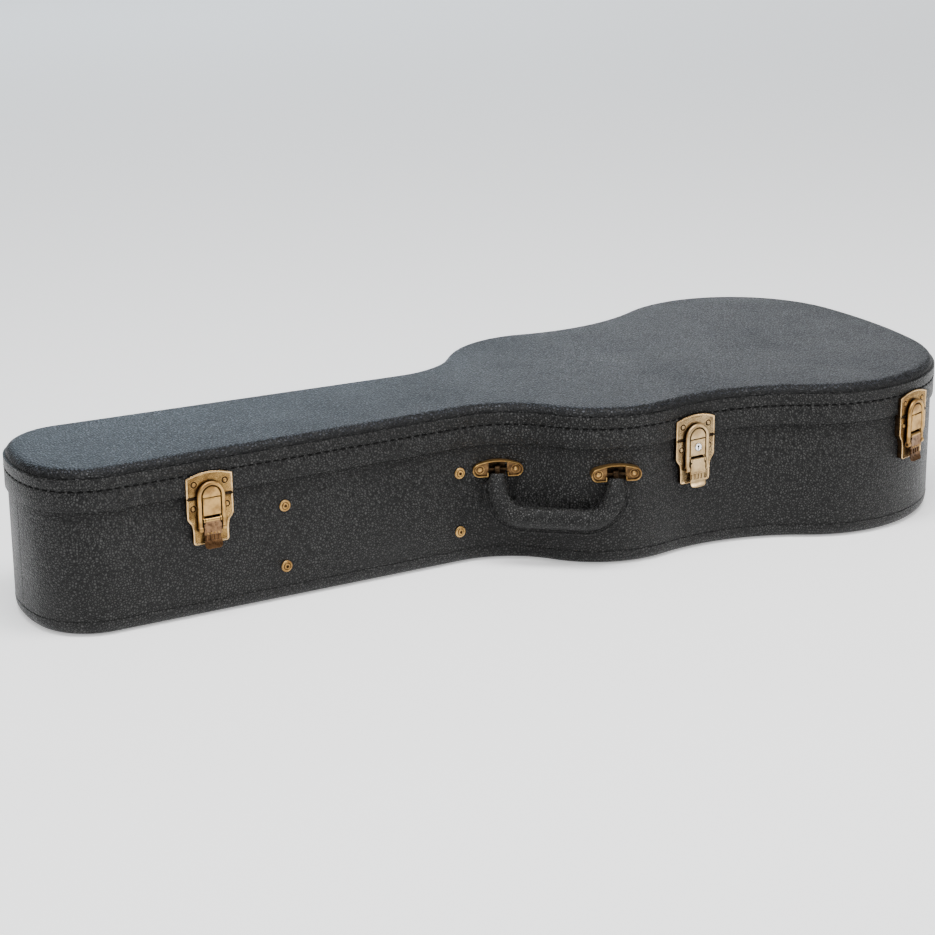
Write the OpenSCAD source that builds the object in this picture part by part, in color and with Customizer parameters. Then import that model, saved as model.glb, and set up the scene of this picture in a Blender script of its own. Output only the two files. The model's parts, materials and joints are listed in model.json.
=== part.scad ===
// Hard-shell guitar case: a lined plywood tub and lid covered in grained vinyl,
// with three drawbolt latches, two hinges, a bail handle and an inner compartment.
// Origin: centre of the bottom face. +X runs towards the wide tail end, -Y is the
// latch and handle side, +Y is the hinge side, +Z is up.

/* [Outline] */
// Overall length of the case over the lid band
case_length = 1080; // [1060:5:1100]
// Radius of the rounded head end
head_radius = 160; // [150:5:180]
// Radius of the two corners at the head end
head_corner_radius = 70; // [60:5:75]
// Half width of the neck part at the head end
neck_half_width = 91.5; // [88:0.5:94]
// Change of half width along the neck part, per unit of length
neck_taper = -0.024; // [-0.03:0.002:0]
// Radius of the hollow where the neck part meets the upper bout
shoulder_radius = 100; // [90:5:110]
// Distance of the upper bout's centre from the head end
upper_bout_x = 653; // [645:1:660]
// Distance of the upper bout's centre from the centre line
upper_bout_y = 50; // [46:1:54]
// Radius of the upper bout
upper_bout_radius = 121; // [117:1:125]
// Radius of the waist
waist_radius = 225; // [200:5:250]
// Distance of the lower bout's centre from the centre line
lower_bout_y = 62; // [58:1:66]
// Radius of the lower bout
lower_bout_radius = 154; // [150:1:158]
// Radius of the tail end
tail_radius = 580; // [540:10:620]

/* [Heights] */
// Overall height with the lid closed
case_height = 176; // [170:1:184]
// Height of the lower edge of the lid band
split_z = 133; // [131:1:134]
// Height of the upper edge of the lid band
band_top_z = 167; // [164:1:168]
// Radius of the rounded lid shoulder and of the rounded bottom edge
edge_radius = 11; // [9:1:12]
// Height of the seam where the bottom covering ends
bottom_seam_z = 15.5; // [14:0.5:20]

/* [Walls] */
// Thickness of the vinyl covering
vinyl = 1.2; // [1:0.1:1.4]
// Thickness of the plywood
ply = 5; // [4:0.5:5]
// Thickness of the plush lining on the body wall and floor
plush = 4; // [3:0.5:4]
// Thickness of the plush lining in the lid
lid_plush = 3; // [2:0.5:3]
// How far the lid skin lies inside the band's outer face
lid_inset = 2; // [1.5:0.1:2.2]
// How far the body's covering lies inside the band's outer face
body_inset = 3; // [2.8:0.1:3.5]

/* [Latches] */
// Distance of the head latch from the head end
latch_1_x = 178; // [150:1:240]
// Distance of the waist latch from the head end
latch_2_x = 712; // [705:1:740]
// Direction of the tail latch around the lower bout, from square to the side
latch_3_angle = 19.7; // [10:0.1:30]
// Half width of the latch plates
plate_half_width = 25.5; // [24:0.5:27]
// Half width of the raised strike and housing
dome_half_width = 10; // [9.5:0.1:10]
// Wire radius of the bail
bail_wire = 2.3; // [2:0.1:2.3]

/* [Handle] */
// Distance of the head-side handle bracket from the head end
bracket_1_x = 512; // [510:1:514]
// Distance of the tail-side handle bracket from the head end
bracket_2_x = 614; // [612:1:616]
// Height of the handle's pivot
handle_z = 105; // [100:1:106]
// Lean of the resting handle away from the wall
handle_lean = 15; // [14:1:20]

/* [Compartment] */
// Distance of the compartment's head-side wall from the head end
compartment_head_x = 263; // [255:1:280]
// Distance of the compartment's neck-side wall from the head end
compartment_neck_x = 470; // [460:1:475]
// Height of the compartment walls
compartment_top_z = 112; // [108:1:116]

/* [Hidden] */

// Colours
vinyl_colour = [0.14, 0.14, 0.14];
ply_colour = [0.72, 0.56, 0.36];
plush_colour = [0.25, 0.23, 0.24];
brass_colour = [0.73, 0.58, 0.38];
bronze_colour = [0.42, 0.30, 0.20];
steel_colour = [0.75, 0.75, 0.77];

// --- outline: a chain of arcs that touch each other, offset by changing their radii ---
q = sqrt(1 + neck_taper * neck_taper);
end_c = [head_radius, 0];
k1 = neck_half_width - head_corner_radius * q;
corner_reach = head_radius - head_corner_radius;
cb = neck_taper * k1 - head_radius;
cc = head_radius * head_radius + k1 * k1 - corner_reach * corner_reach;
corner_x = (-cb - sqrt(cb * cb - q * q * cc)) / (q * q);
corner_c = [corner_x, k1 + neck_taper * corner_x];
upper_c = [upper_bout_x, upper_bout_y];
k2 = neck_half_width + shoulder_radius * q - upper_bout_y;
sb = neck_taper * k2 - upper_bout_x;
sc = upper_bout_x * upper_bout_x + k2 * k2 - pow(upper_bout_radius + shoulder_radius, 2);
shoulder_x = (-sb - sqrt(sb * sb - q * q * sc)) / (q * q);
shoulder_c = [shoulder_x, neck_half_width + neck_taper * shoulder_x + shoulder_radius * q];
tail_c = [case_length - tail_radius, 0];
lower_x = tail_c[0] + sqrt(pow(tail_radius - lower_bout_radius, 2) - lower_bout_y * lower_bout_y);
lower_c = [lower_x, lower_bout_y];
bout_span = norm(lower_c - upper_c);
bout_dir = (lower_c - upper_c) / bout_span;
r_uw = upper_bout_radius + waist_radius;
r_lw = lower_bout_radius + waist_radius;
waist_along = (r_uw * r_uw - r_lw * r_lw + bout_span * bout_span) / (2 * bout_span);
waist_across = sqrt(r_uw * r_uw - waist_along * waist_along);
waist_c = upper_c + waist_along * bout_dir + waist_across * [-bout_dir[1], bout_dir[0]];

function ang(v) = atan2(v[1], v[0]);
function arc(c, r, a0, a1, n) =
    [for (i = [0:n]) c + r * [cos(a0 + (a1 - a0) * i / n), sin(a0 + (a1 - a0) * i / n)]];
function rest(v) = [for (i = [1:len(v) - 1]) v[i]];
neck_normal = ang([-neck_taper, 1]);

// Half of the outline from the head end to the tail end, d outside the band's face
function half(d) = concat(
    arc(end_c, head_radius + d, 180, ang(corner_c - end_c), 3),
    rest(arc(corner_c, head_corner_radius + d, ang(corner_c - end_c), neck_normal, 6)),
    arc(shoulder_c, shoulder_radius - d, neck_normal - 180, ang(upper_c - shoulder_c), 5),
    rest(arc(upper_c, upper_bout_radius + d, ang(shoulder_c - upper_c), ang(waist_c - upper_c), 7)),
    rest(arc(waist_c, waist_radius - d, ang(upper_c - waist_c), ang(lower_c - waist_c), 5)),
    rest(arc(lower_c, lower_bout_radius + d, ang(waist_c - lower_c), ang(lower_c - tail_c), 11)),
    rest(arc(tail_c, tail_radius + d, ang(lower_c - tail_c), 0, 3)));

// Whole outline, counter-clockwise, about the middle of the length
function outline(d) = let (h = half(d), n = len(h)) [
    for (i = [0:n - 1]) [h[i][0] - case_length / 2, -h[i][1]],
    for (i = [n - 2:-1:1]) [h[i][0] - case_length / 2, h[i][1]]];

// Solid slab of the outline between two heights
module slab(d, z0, z1) {
    translate([0, 0, z0]) linear_extrude(height = z1 - z0) polygon(outline(d));
}

// Straight-sided ring between two offsets
module ring(d_out, d_in, z0, z1) {
    translate([0, 0, z0]) linear_extrude(height = z1 - z0) difference() {
        polygon(outline(d_out));
        polygon(outline(d_in));
    }
}

// Closed shell through a list of [offset, height] rings, with flat first and last faces.
// The first face looks up and the last one down; each is a row of strips across the outline.
module lofted(profile) {
    n = len(outline(0));
    m = len(profile);
    h = n / 2;
    points = [for (p = profile) for (v = outline(p[0])) [v[0], v[1], p[1]]];
    sides = [for (j = [0:m - 2]) for (i = [0:n - 1]) let (k = (i + 1) % n)
        [j * n + i, j * n + k, (j + 1) * n + k, (j + 1) * n + i]];
    strips = concat([[0, 1, n - 1]], [for (i = [1:h - 2]) [i, i + 1, n - i - 1, n - i]],
        [[h - 1, h, h + 1]]);
    first = [for (f = strips) [for (i = [len(f) - 1:-1:0]) f[i]]];
    last = [for (f = strips) [for (i = f) (m - 1) * n + i]];
    polyhedron(points = points, faces = concat(first, sides, last), convexity = 10);
}

// Closed skin through a list of [offset, height] rings that leads back to the first one
module lofted_ring(profile) {
    n = len(outline(0));
    m = len(profile);
    points = [for (p = profile) for (v = outline(p[0])) [v[0], v[1], p[1]]];
    sides = [for (j = [0:m - 1]) for (i = [0:n - 1]) let (k = (i + 1) % n, up = (j + 1) % m)
        [j * n + i, j * n + k, up * n + k, up * n + i]];
    polyhedron(points = points, faces = sides, convexity = 10);
}

// Quarter round from a flat face to an upright wall: offsets and heights of n + 1 rings
function quarter(d_wall, r, z_centre, up, a0, a1, n) =
    [for (i = [0:n]) let (a = a0 + (a1 - a0) * i / n)
        [d_wall - edge_radius + r * sin(a), z_centre + up * r * cos(a)]];

// --- wall build-up ---
cover_in = -body_inset - vinyl;
shell_in = cover_in - ply;
lining_in = shell_in - plush;
floor_z = vinyl + ply;
body_rise = 5.8;
rim_thick = 1.2;
lid_clear = 0.5;
body_top_z = split_z + body_rise;
rim_z = body_top_z + rim_thick;
lid_bottom_z = rim_z + lid_clear;
lid_cover_in = -lid_inset - vinyl;
lid_shell_in = lid_cover_in - ply;
lid_lining_in = lid_shell_in - lid_plush;
lid_spring_z = case_height - edge_radius;
lid_under_z = case_height - vinyl - ply;
round_steps = 3;

// --- body ---
// Flat middle of the bottom covering, which the case stands on
module bottom_cover() {
    color(vinyl_colour) slab(-body_inset - edge_radius, 0, vinyl);
}

// Rounded border of the bottom covering, up to its seam on the side wall
module bottom_edge_cover() {
    color(vinyl_colour) lofted_ring(concat(
        quarter(-body_inset, edge_radius - vinyl, edge_radius, -1, 0, 90, round_steps),
        [[cover_in, bottom_seam_z], [-body_inset, bottom_seam_z]],
        quarter(-body_inset, edge_radius, edge_radius, -1, 90, 0, round_steps)));
}

module bottom_panel() {
    color(ply_colour) lofted(concat(
        [[shell_in, floor_z], [shell_in, edge_radius]],
        quarter(-body_inset, edge_radius - vinyl, edge_radius, -1, 90, 0, round_steps)));
}

module body_shell() {
    color(ply_colour) difference() {
        ring(cover_in, shell_in, edge_radius, body_top_z);
        compartment_rivet_holes();
    }
}

module body_cover() {
    color(vinyl_colour) difference() {
        ring(-body_inset, cover_in, bottom_seam_z, body_top_z);
        compartment_rivet_holes();
    }
}

module rim_binding() {
    color(plush_colour) ring(-body_inset, shell_in, body_top_z, rim_z);
}

module body_lining() {
    color(plush_colour) difference() {
        ring(shell_in, lining_in, floor_z, body_top_z - 1);
        compartment_rivet_holes();
    }
}

module floor_lining() {
    color(plush_colour) slab(lining_in, floor_z, floor_z + plush);
}

// --- compartment under the neck ---
wall_thick = 6;
wall_bottom_z = floor_z + plush;
cradle_length = 24;
cradle_top_z = 134;
notch_radius = 34;
notch_z = 117;
flap_thick = 4;
flap_gap = 0.3;
flap_axis_z = compartment_top_z + flap_gap + flap_thick;
flap_edge = 1.5;
batten_thick = 12;

// Board across the neck part from x0 to x1, up to height z1
module cross_wall(x0, x1, z1) {
    intersection() {
        slab(lining_in, wall_bottom_z, z1);
        translate([x0 - case_length / 2, -case_length / 2, 0]) cube([x1 - x0, case_length, case_height]);
    }
}

module compartment_head_wall() {
    color(plush_colour) cross_wall(compartment_head_x - wall_thick / 2,
        compartment_head_x + wall_thick / 2, compartment_top_z);
}

module compartment_neck_wall() {
    color(plush_colour) cross_wall(compartment_neck_x - wall_thick / 2,
        compartment_neck_x + wall_thick / 2, compartment_top_z);
}

module neck_cradle() {
    x0 = compartment_neck_x + wall_thick / 2;
    color(plush_colour) difference() {
        cross_wall(x0, x0 + cradle_length, cradle_top_z);
        translate([x0 - case_length / 2 - 1, 0, notch_z + notch_radius]) rotate([0, 90, 0])
            cylinder(r = notch_radius, h = cradle_length + 2, $fn = 64);
    }
}

module flap_batten() {
    x0 = compartment_head_x - wall_thick / 2 - batten_thick;
    color(ply_colour) cross_wall(x0, compartment_head_x - wall_thick / 2, flap_axis_z);
}

module compartment_flap() {
    color(plush_colour) intersection() {
        slab(lining_in - flap_edge, compartment_top_z + flap_gap, flap_axis_z);
        translate([compartment_head_x - wall_thick / 2 - case_length / 2 + flap_gap, -case_length / 2, 0])
            cube([compartment_neck_x - compartment_head_x + wall_thick - 2 * flap_gap, case_length,
                case_height]);
    }
}

// Ribbon loop that lifts the flap
tab_width = 22;
tab_radius = 7;
tab_thick = 1.2;
tab_back = 16;
module flap_tab() {
    x1 = compartment_neck_x - case_length / 2 - tab_back;
    color(bronze_colour) translate([x1, 0, flap_axis_z]) rotate([90, 0, 0])
        translate([0, 0, -tab_width / 2]) rotate_extrude(angle = 180, $fn = 48)
            translate([tab_radius - tab_thick, 0]) square([tab_thick, tab_width]);
}

// Frame on the side wall of the neck part, -Y outwards, at height z
module on_neck(x, side, z) {
    y = neck_half_width + neck_taper * x;
    translate([x - case_length / 2, side * y, z]) rotate([0, 0, side < 0 ? -atan(neck_taper)
        : 180 + atan(neck_taper)]) children();
}

rivet_z = [37, 103.5];
rivet_shank = 2;
rivet_head_radius = 5.6;
rivet_rise = 2.4;
seat_depth = 0.05;
seat_reach = 3;
module at_compartment_rivets() {
    for (x = [compartment_head_x, compartment_neck_x]) for (side = [-1, 1]) for (z = rivet_z)
        on_neck(x, side, z) rotate([90, 0, 0]) children();
}

module compartment_rivet_holes() {
    at_compartment_rivets() {
        translate([0, 0, lining_in - 1]) cylinder(r = rivet_shank, h = -lining_in + 2, $fn = 32);
        translate([0, 0, -body_inset - seat_depth])
            cylinder(r = rivet_head_radius + seat_depth, h = seat_reach, $fn = 32);
    }
}

// Round head with a raised centre, seated at height 0
module rivet_head(r, h) {
    rotate_extrude($fn = 32) polygon([[0, 0], [r, 0], [r, h * 0.45], [r * 0.8, h * 0.8],
        [r * 0.55, h * 0.8], [r * 0.5, h * 0.6], [r * 0.42, h * 0.6], [r * 0.34, h], [0, h]]);
}

module compartment_rivets() {
    color(brass_colour) at_compartment_rivets() translate([0, 0, -body_inset]) {
        rivet_head(rivet_head_radius, rivet_rise);
        translate([0, 0, lining_in + body_inset]) cylinder(r = rivet_shank, h = -lining_in - body_inset,
            $fn = 32);
    }
}

// --- latches: u runs along the wall, -Y is outwards, heights are absolute ---
latch_2_y = waist_c[1] - sqrt(waist_radius * waist_radius - pow(latch_2_x - waist_c[0], 2));
latch_2_turn = asin((waist_c[0] - latch_2_x) / waist_radius);
latch_3_c = lower_c + lower_bout_radius * [sin(latch_3_angle), cos(latch_3_angle)];
waist_hollow = waist_radius - sqrt(waist_radius * waist_radius - plate_half_width * plate_half_width);
latch_at = [[latch_1_x, -(neck_half_width + neck_taper * latch_1_x), -atan(neck_taper), 0],
    [latch_2_x, -latch_2_y, latch_2_turn, waist_hollow],
    [latch_3_c[0], -latch_3_c[1], latch_3_angle, 0]];

plate_front = 1.6;
plate_metal = 1.1;
strike_bottom_z = split_z - 2.8;
strike_corner_z = split_z + 18.5;
strike_crown = 5;
base_top_z = strike_bottom_z - 0.5;
knee_z = split_z - 26;
base_bottom_z = split_z - 53;
base_foot_half = 19.5;
dome_front = 7;
dome_c_z = split_z - 1.2;
housing_bottom_z = split_z - 22;
pivot_o = 5.2;
pivot_z = split_z - 27;
bail_pivot_z = pivot_z - 9;
pin_radius = 1.2;
pin_slack = 0.06;
lever_half = 8.1;
ear_gap = 0.3;
bail_mid = dome_half_width + 0.7 + bail_wire;
strike_rivet = [17, split_z + 11.5];
base_rivet = [18.5, split_z - 14];
plate_rivet = 1.5;
plate_head_radius = 2.9;
plate_head_rise = 1.6;
plate_join = 0.5;
strike_back = -6;
base_back = -9;
foot_chamfer = 3;
knee_drop = 8;
hole_start = 5;
hole_depth = 8;
boss_radius = 3;
boss_depth = 3;
ear_radius = 2.6;
ear_root = 1;
ear_tall = 8;
bore_reach = 20;
cut_half = 40;
cut_tall = 60;
lock_z = split_z - 12;
lock_radius = 4.2;
lock_slack = 0.05;

module at_latch(i) {
    p = latch_at[i];
    translate([p[0] - case_length / 2, p[1], 0]) rotate([0, 0, p[2]]) translate([0, -p[3], 0]) children();
}

// Flat shape in the plane of the wall, from o0 to o1 outwards
module on_wall(o0, o1) {
    translate([0, -o0, 0]) rotate([90, 0, 0]) linear_extrude(height = o1 - o0) children();
}

// Cylinder along u between two places
module along_u(r, u0, u1, o, z, fn = 32) {
    translate([u0, -o, z]) rotate([0, 90, 0]) cylinder(r = r, h = u1 - u0, $fn = fn);
}

module strike_shape(inset) {
    w = plate_half_width - inset;
    top = [for (t = [-1:0.125:1]) [-w * t, strike_corner_z - inset + strike_crown * (1 - t * t)]];
    polygon(concat([[-w, strike_bottom_z + inset], [w, strike_bottom_z + inset]], top));
}

module base_shape(inset) {
    w = plate_half_width - inset;
    f = base_foot_half - inset;
    c = foot_chamfer;
    polygon([[-f + c, base_bottom_z + inset], [f - c, base_bottom_z + inset],
        [f, base_bottom_z + inset + c], [f, knee_z - knee_drop], [w, knee_z + 1],
        [w, base_top_z - inset], [-w, base_top_z - inset], [-w, knee_z + 1], [-f, knee_z - knee_drop],
        [-f, base_bottom_z + inset + c]]);
}

// Round-topped raised middle that the strike and the housing share
module dome_shape(inset) {
    translate([0, dome_c_z]) circle(r = dome_half_width - inset, $fn = 48);
    translate([-dome_half_width + inset, strike_bottom_z])
        square([2 * (dome_half_width - inset), dome_c_z - strike_bottom_z]);
}

// Part of the wall's plane above a height
module above(z) {
    translate([-cut_half, z]) square([2 * cut_half, cut_tall]);
}

module plate_holes(place) {
    for (s = [-1, 1]) translate([s * place[0], hole_start - plate_front, place[1]]) rotate([90, 0, 0])
        cylinder(r = plate_rivet, h = hole_depth, $fn = 24);
}

// Upper plate on the lid with the raised strike that the bail hooks over
module latch_strike(i) {
    color(brass_colour) difference() {
        at_latch(i) difference() {
            union() {
                on_wall(strike_back, plate_front) strike_shape(0);
                on_wall(plate_front - plate_join, dome_front) intersection() {
                    dome_shape(0);
                    above(strike_bottom_z);
                }
            }
            on_wall(strike_back - 1, dome_front - plate_metal) intersection() {
                dome_shape(plate_metal);
                above(strike_bottom_z + plate_metal);
            }
            plate_holes(strike_rivet);
        }
        slab(0, 0, case_height);
    }
}

// Lower plate on the body: a shallow pressed pan with the raised housing and two ears
module latch_base(i) {
    color(brass_colour) difference() {
        at_latch(i) difference() {
            union() {
                difference() {
                    on_wall(base_back, plate_front) base_shape(0);
                    on_wall(base_back - 1, plate_front - plate_metal) base_shape(plate_metal);
                }
                on_wall(plate_front - plate_join, dome_front) translate([-dome_half_width, housing_bottom_z])
                    square([2 * dome_half_width, base_top_z - housing_bottom_z]);
                for (s = [-1, 1]) ear(s);
                for (s = [-1, 1]) translate([s * base_rivet[0], -plate_front + plate_metal, base_rivet[1]])
                    rotate([-90, 0, 0]) cylinder(r = boss_radius, h = boss_depth, $fn = 24);
            }
            on_wall(base_back - 1, dome_front - plate_metal)
                translate([-dome_half_width + plate_metal, housing_bottom_z + plate_metal])
                    square([2 * (dome_half_width - plate_metal),
                        base_top_z - housing_bottom_z - 2 * plate_metal]);
            along_u(pin_radius, -bore_reach, bore_reach, pivot_o, pivot_z);
            plate_holes(base_rivet);
            if (i == 1) translate([0, 0, lock_z]) rotate([90, 0, 0])
                cylinder(r = lock_radius + lock_slack, h = bore_reach, $fn = 48);
        }
        slab(-body_inset, 0, case_height);
    }
}

// Ear beside the lever that carries the end of its pin
module ear(s) {
    u0 = lever_half + ear_gap;
    translate([s > 0 ? u0 : -dome_half_width, 0, 0]) {
        translate([0, -pivot_o, pivot_z]) rotate([0, 90, 0])
            cylinder(r = ear_radius, h = dome_half_width - u0, $fn = 32);
        translate([0, -pivot_o, pivot_z - ear_radius])
            cube([dome_half_width - u0, pivot_o - ear_root, ear_tall]);
    }
}

module lever_pins() {
    color(steel_colour) for (i = [0:2]) at_latch(i)
        along_u(pin_radius, -dome_half_width, dome_half_width, pivot_o, pivot_z);
}

lever_back = 0.7;
lever_front = 2.3;
lever_knuckle = 2.4;
bail_knuckle = 2.3;
bar_half = 9.6;
bar_bottom = 16;
bar_tall = 14;
neck_drop = 8;
neck_tall = 8.5;
thumb_z = split_z - 56;
thumb_half = 9.2;
thumb_top = 15;
curl_radius = 1.6;
curl_lift = 0.6;
rib_radius = 0.7;
rib_half = 9.4;
rib_drop = 6;
rib_pitch = 2.6;
// Lever that turns out and up about its pin, with a curled thumb tab
module latch_lever(i) {
    color(brass_colour) at_latch(i) difference() {
        union() {
            along_u(lever_knuckle, -lever_half, lever_half, pivot_o, pivot_z);
            along_u(bail_knuckle, -lever_half, lever_half, pivot_o, bail_pivot_z);
            on_wall(pivot_o + lever_back, pivot_o + lever_front) {
                translate([-lever_half, bail_pivot_z]) square([2 * lever_half, pivot_z - bail_pivot_z]);
                translate([-bar_half, bail_pivot_z - bar_bottom]) square([2 * bar_half, bar_tall]);
                translate([-lever_half, bail_pivot_z - neck_drop]) square([2 * lever_half, neck_tall]);
                translate([-thumb_half, thumb_z])
                    square([2 * thumb_half, bail_pivot_z - thumb_top - thumb_z]);
            }
            along_u(curl_radius, -thumb_half, thumb_half, pivot_o + lever_front + curl_lift, thumb_z, 24);
            for (k = [0:3]) along_u(rib_radius, -rib_half, rib_half, pivot_o + lever_front,
                bail_pivot_z - rib_drop - rib_pitch * k, 16);
        }
        along_u(pin_radius + pin_slack, -bore_reach, bore_reach, pivot_o, pivot_z);
        along_u(pin_radius, -bore_reach, bore_reach, pivot_o, bail_pivot_z);
    }
}

module bail_pin(i) {
    color(steel_colour) at_latch(i)
        along_u(pin_radius, -bail_mid - bail_wire, bail_mid + bail_wire, pivot_o, bail_pivot_z);
}

bail_eye = 2.9;
// Wire loop that hooks over the strike
module latch_bail(i) {
    color(brass_colour) at_latch(i) difference() {
        union() {
            translate([0, -pivot_o, dome_c_z]) rotate([90, 0, 0])
                rotate_extrude(angle = 180, $fn = 64) translate([bail_mid, 0])
                    circle(r = bail_wire, $fn = 12);
            for (s = [-1, 1]) {
                translate([s * bail_mid, -pivot_o, bail_pivot_z])
                    cylinder(r = bail_wire, h = dome_c_z - bail_pivot_z, $fn = 12);
                along_u(bail_eye, s * bail_mid - bail_wire, s * bail_mid + bail_wire, pivot_o, bail_pivot_z);
            }
        }
        along_u(pin_radius + pin_slack, -bore_reach, bore_reach, pivot_o, bail_pivot_z);
    }
}

module plate_rivets(place, back) {
    for (s = [-1, 1]) translate([s * place[0], -plate_front, place[1]]) rotate([90, 0, 0]) {
        rivet_head(plate_head_radius, plate_head_rise);
        translate([0, 0, -back]) cylinder(r = plate_rivet, h = back, $fn = 24);
    }
}

module strike_rivets() {
    color(brass_colour) for (i = [0:2]) at_latch(i) plate_rivets(strike_rivet, plate_metal);
}

module base_rivets() {
    color(brass_colour) for (i = [0:2]) at_latch(i) plate_rivets(base_rivet, plate_metal);
}

lock_back_o = 2.6;
lock_rise = 0.5;
keyway_depth = 2.5;
key_radius = 1.3;
key_lift = 0.9;
key_slot_half = 0.6;
key_slot_drop = 3;
key_slot_tall = 3.6;
module lock_rotor() {
    color(steel_colour) at_latch(1) difference() {
        translate([0, -lock_back_o, lock_z]) rotate([90, 0, 0])
            cylinder(r = lock_radius, h = dome_front + lock_rise - lock_back_o, $fn = 48);
        on_wall(dome_front - keyway_depth, dome_front + 1) translate([0, lock_z]) {
            translate([0, key_lift]) circle(r = key_radius, $fn = 24);
            translate([-key_slot_half, -key_slot_drop]) square([2 * key_slot_half, key_slot_tall]);
        }
    }
}

cam_thick = 1.4;
cam_half = 2;
cam_drop = 7;
cam_tall = 10;
cam_hub = 3.4;
module lock_cam() {
    color(steel_colour) at_latch(1) on_wall(lock_back_o - cam_thick, lock_back_o) translate([0, lock_z]) {
        translate([-cam_half, -cam_drop]) square([2 * cam_half, cam_tall]);
        circle(r = cam_hub, $fn = 32);
    }
}

// --- handle ---
body_wall = -body_inset;
bracket_1_p = [bracket_1_x,
    -(shoulder_c[1] - sqrt(pow(shoulder_radius - body_wall, 2) - pow(bracket_1_x - shoulder_c[0], 2)))];
bracket_2_p = [bracket_2_x,
    -(upper_c[1] + sqrt(pow(upper_bout_radius + body_wall, 2) - pow(bracket_2_x - upper_c[0], 2)))];
bracket_1_turn = -asin((bracket_1_x - shoulder_c[0]) / (shoulder_radius - body_wall));
bracket_2_turn = asin((bracket_2_x - upper_c[0]) / (upper_bout_radius + body_wall));
bracket_pivot_o = 5;
bracket_front = 8;
bracket_half = 27.5;
bracket_tall = 9;
window_half = 9;
bracket_back = -4;
end_radius = 5.5;
arch_u = 12;
arch_radius = 5;
foot_radius = 3;
shank_reach = 6;
window_rise = 5;
bracket_pin_half = 13;
bracket_head_radius = 3.6;
bracket_head_rise = 2.2;
eye_1 = bracket_1_p + bracket_pivot_o * [sin(bracket_1_turn), -cos(bracket_1_turn)];
eye_2 = bracket_2_p + bracket_pivot_o * [sin(bracket_2_turn), -cos(bracket_2_turn)];
handle_mid = (eye_1 + eye_2) / 2;
handle_turn = ang(eye_2 - eye_1);
handle_half = norm(eye_2 - eye_1) / 2;
grip_v = 51;
bend_radius = 32;
grip_wide = 12;
grip_thick = 9;
loop_width = 5;
loop_hole = 2.4;
loop_outer = 4.2;
bracket_pin = 1.5;
bracket_rivet_u = 19.5;
pocket_floor = 3.5;
pocket_radius = 4.6;
shank_length = 0.8;

module at_bracket(p, turn) {
    translate([p[0] - case_length / 2, p[1], handle_z]) rotate([0, 0, turn]) children();
}

// Arched plate with a window for the loop and a pocket for each rivet
module handle_bracket(p, turn) {
    color(brass_colour) difference() {
        at_bracket(p, turn) difference() {
            on_wall(bracket_back, bracket_front) hull() {
                for (s = [-1, 1]) translate([s * (bracket_half - end_radius), 0])
                    circle(r = end_radius, $fn = 32);
                for (s = [-1, 1]) translate([s * arch_u, bracket_tall - arch_radius])
                    circle(r = arch_radius, $fn = 32);
                for (s = [-1, 1]) translate([s * arch_u, foot_radius - bracket_tall])
                    circle(r = foot_radius, $fn = 32);
            }
            on_wall(-shank_reach, bracket_front + 1) translate([-window_half, -bracket_tall - 1])
                square([2 * window_half, bracket_tall + 1 + window_rise]);
            for (s = [-1, 1]) on_wall(pocket_floor, bracket_front + 1) translate([s * bracket_rivet_u, 0])
                circle(r = pocket_radius, $fn = 32);
            for (s = [-1, 1]) on_wall(-shank_reach, shank_reach) translate([s * bracket_rivet_u, 0])
                circle(r = plate_rivet, $fn = 24);
            along_u(bracket_pin, -bracket_pin_half, bracket_pin_half, bracket_pivot_o, 0, 24);
        }
        slab(-body_inset, 0, case_height);
    }
}

module handle_bracket_head() {
    handle_bracket(bracket_1_p, bracket_1_turn);
}

module handle_bracket_tail() {
    handle_bracket(bracket_2_p, bracket_2_turn);
}

module at_both_brackets() {
    at_bracket(bracket_1_p, bracket_1_turn) children();
    at_bracket(bracket_2_p, bracket_2_turn) children();
}

module bracket_rivets() {
    color(brass_colour) at_both_brackets() for (s = [-1, 1])
        translate([s * bracket_rivet_u, -pocket_floor, 0]) rotate([90, 0, 0]) {
            rivet_head(bracket_head_radius, bracket_head_rise);
            translate([0, 0, -shank_length]) cylinder(r = plate_rivet, h = shank_length, $fn = 24);
        }
}

module bracket_pins() {
    color(steel_colour) at_both_brackets()
        along_u(bracket_pin, -bracket_pin_half, bracket_pin_half, bracket_pivot_o, 0, 24);
}

// Plane of the handle: X along the pivot line, Y runs from the pivot down the handle
module in_handle() {
    translate([handle_mid[0] - case_length / 2, handle_mid[1], handle_z]) rotate([0, 0, handle_turn])
        rotate([-90 - handle_lean, 0, 0]) children();
}

grip_sides = 20;
module grip_profile() {
    polygon([for (i = [0:grip_sides - 1]) let (a = 360 / grip_sides * i)
        [grip_wide * cos(a), grip_thick * sin(a)]]);
}

leg_top_v = 12;
leg_top_radius = 5.5;
leg_end = grip_v - bend_radius;
core_start = leg_top_v - 0.01;

// Quarter turn of a section at each end of the hand part
module at_bends() {
    for (s = [-1, 1]) translate([s * (handle_half - bend_radius), leg_end, 0])
        rotate([0, 0, s > 0 ? 0 : 90]) rotate_extrude(angle = 90, $fn = 48) children();
}

// Grip: two short legs, two bends and the straight hand part
module grip_solid() {
    for (s = [-1, 1]) translate([s * handle_half, leg_end, 0]) rotate([90, 0, 0])
        cylinder(r1 = grip_thick, r2 = leg_top_radius, h = leg_end - leg_top_v, $fn = 32);
    at_bends() translate([bend_radius, 0]) grip_profile();
    translate([-handle_half + bend_radius, grip_v, 0]) rotate([0, 90, 0])
        linear_extrude(height = 2 * (handle_half - bend_radius)) rotate([0, 0, 90]) grip_profile();
}

core_half = 1.2;
core_wide = 5;
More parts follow.
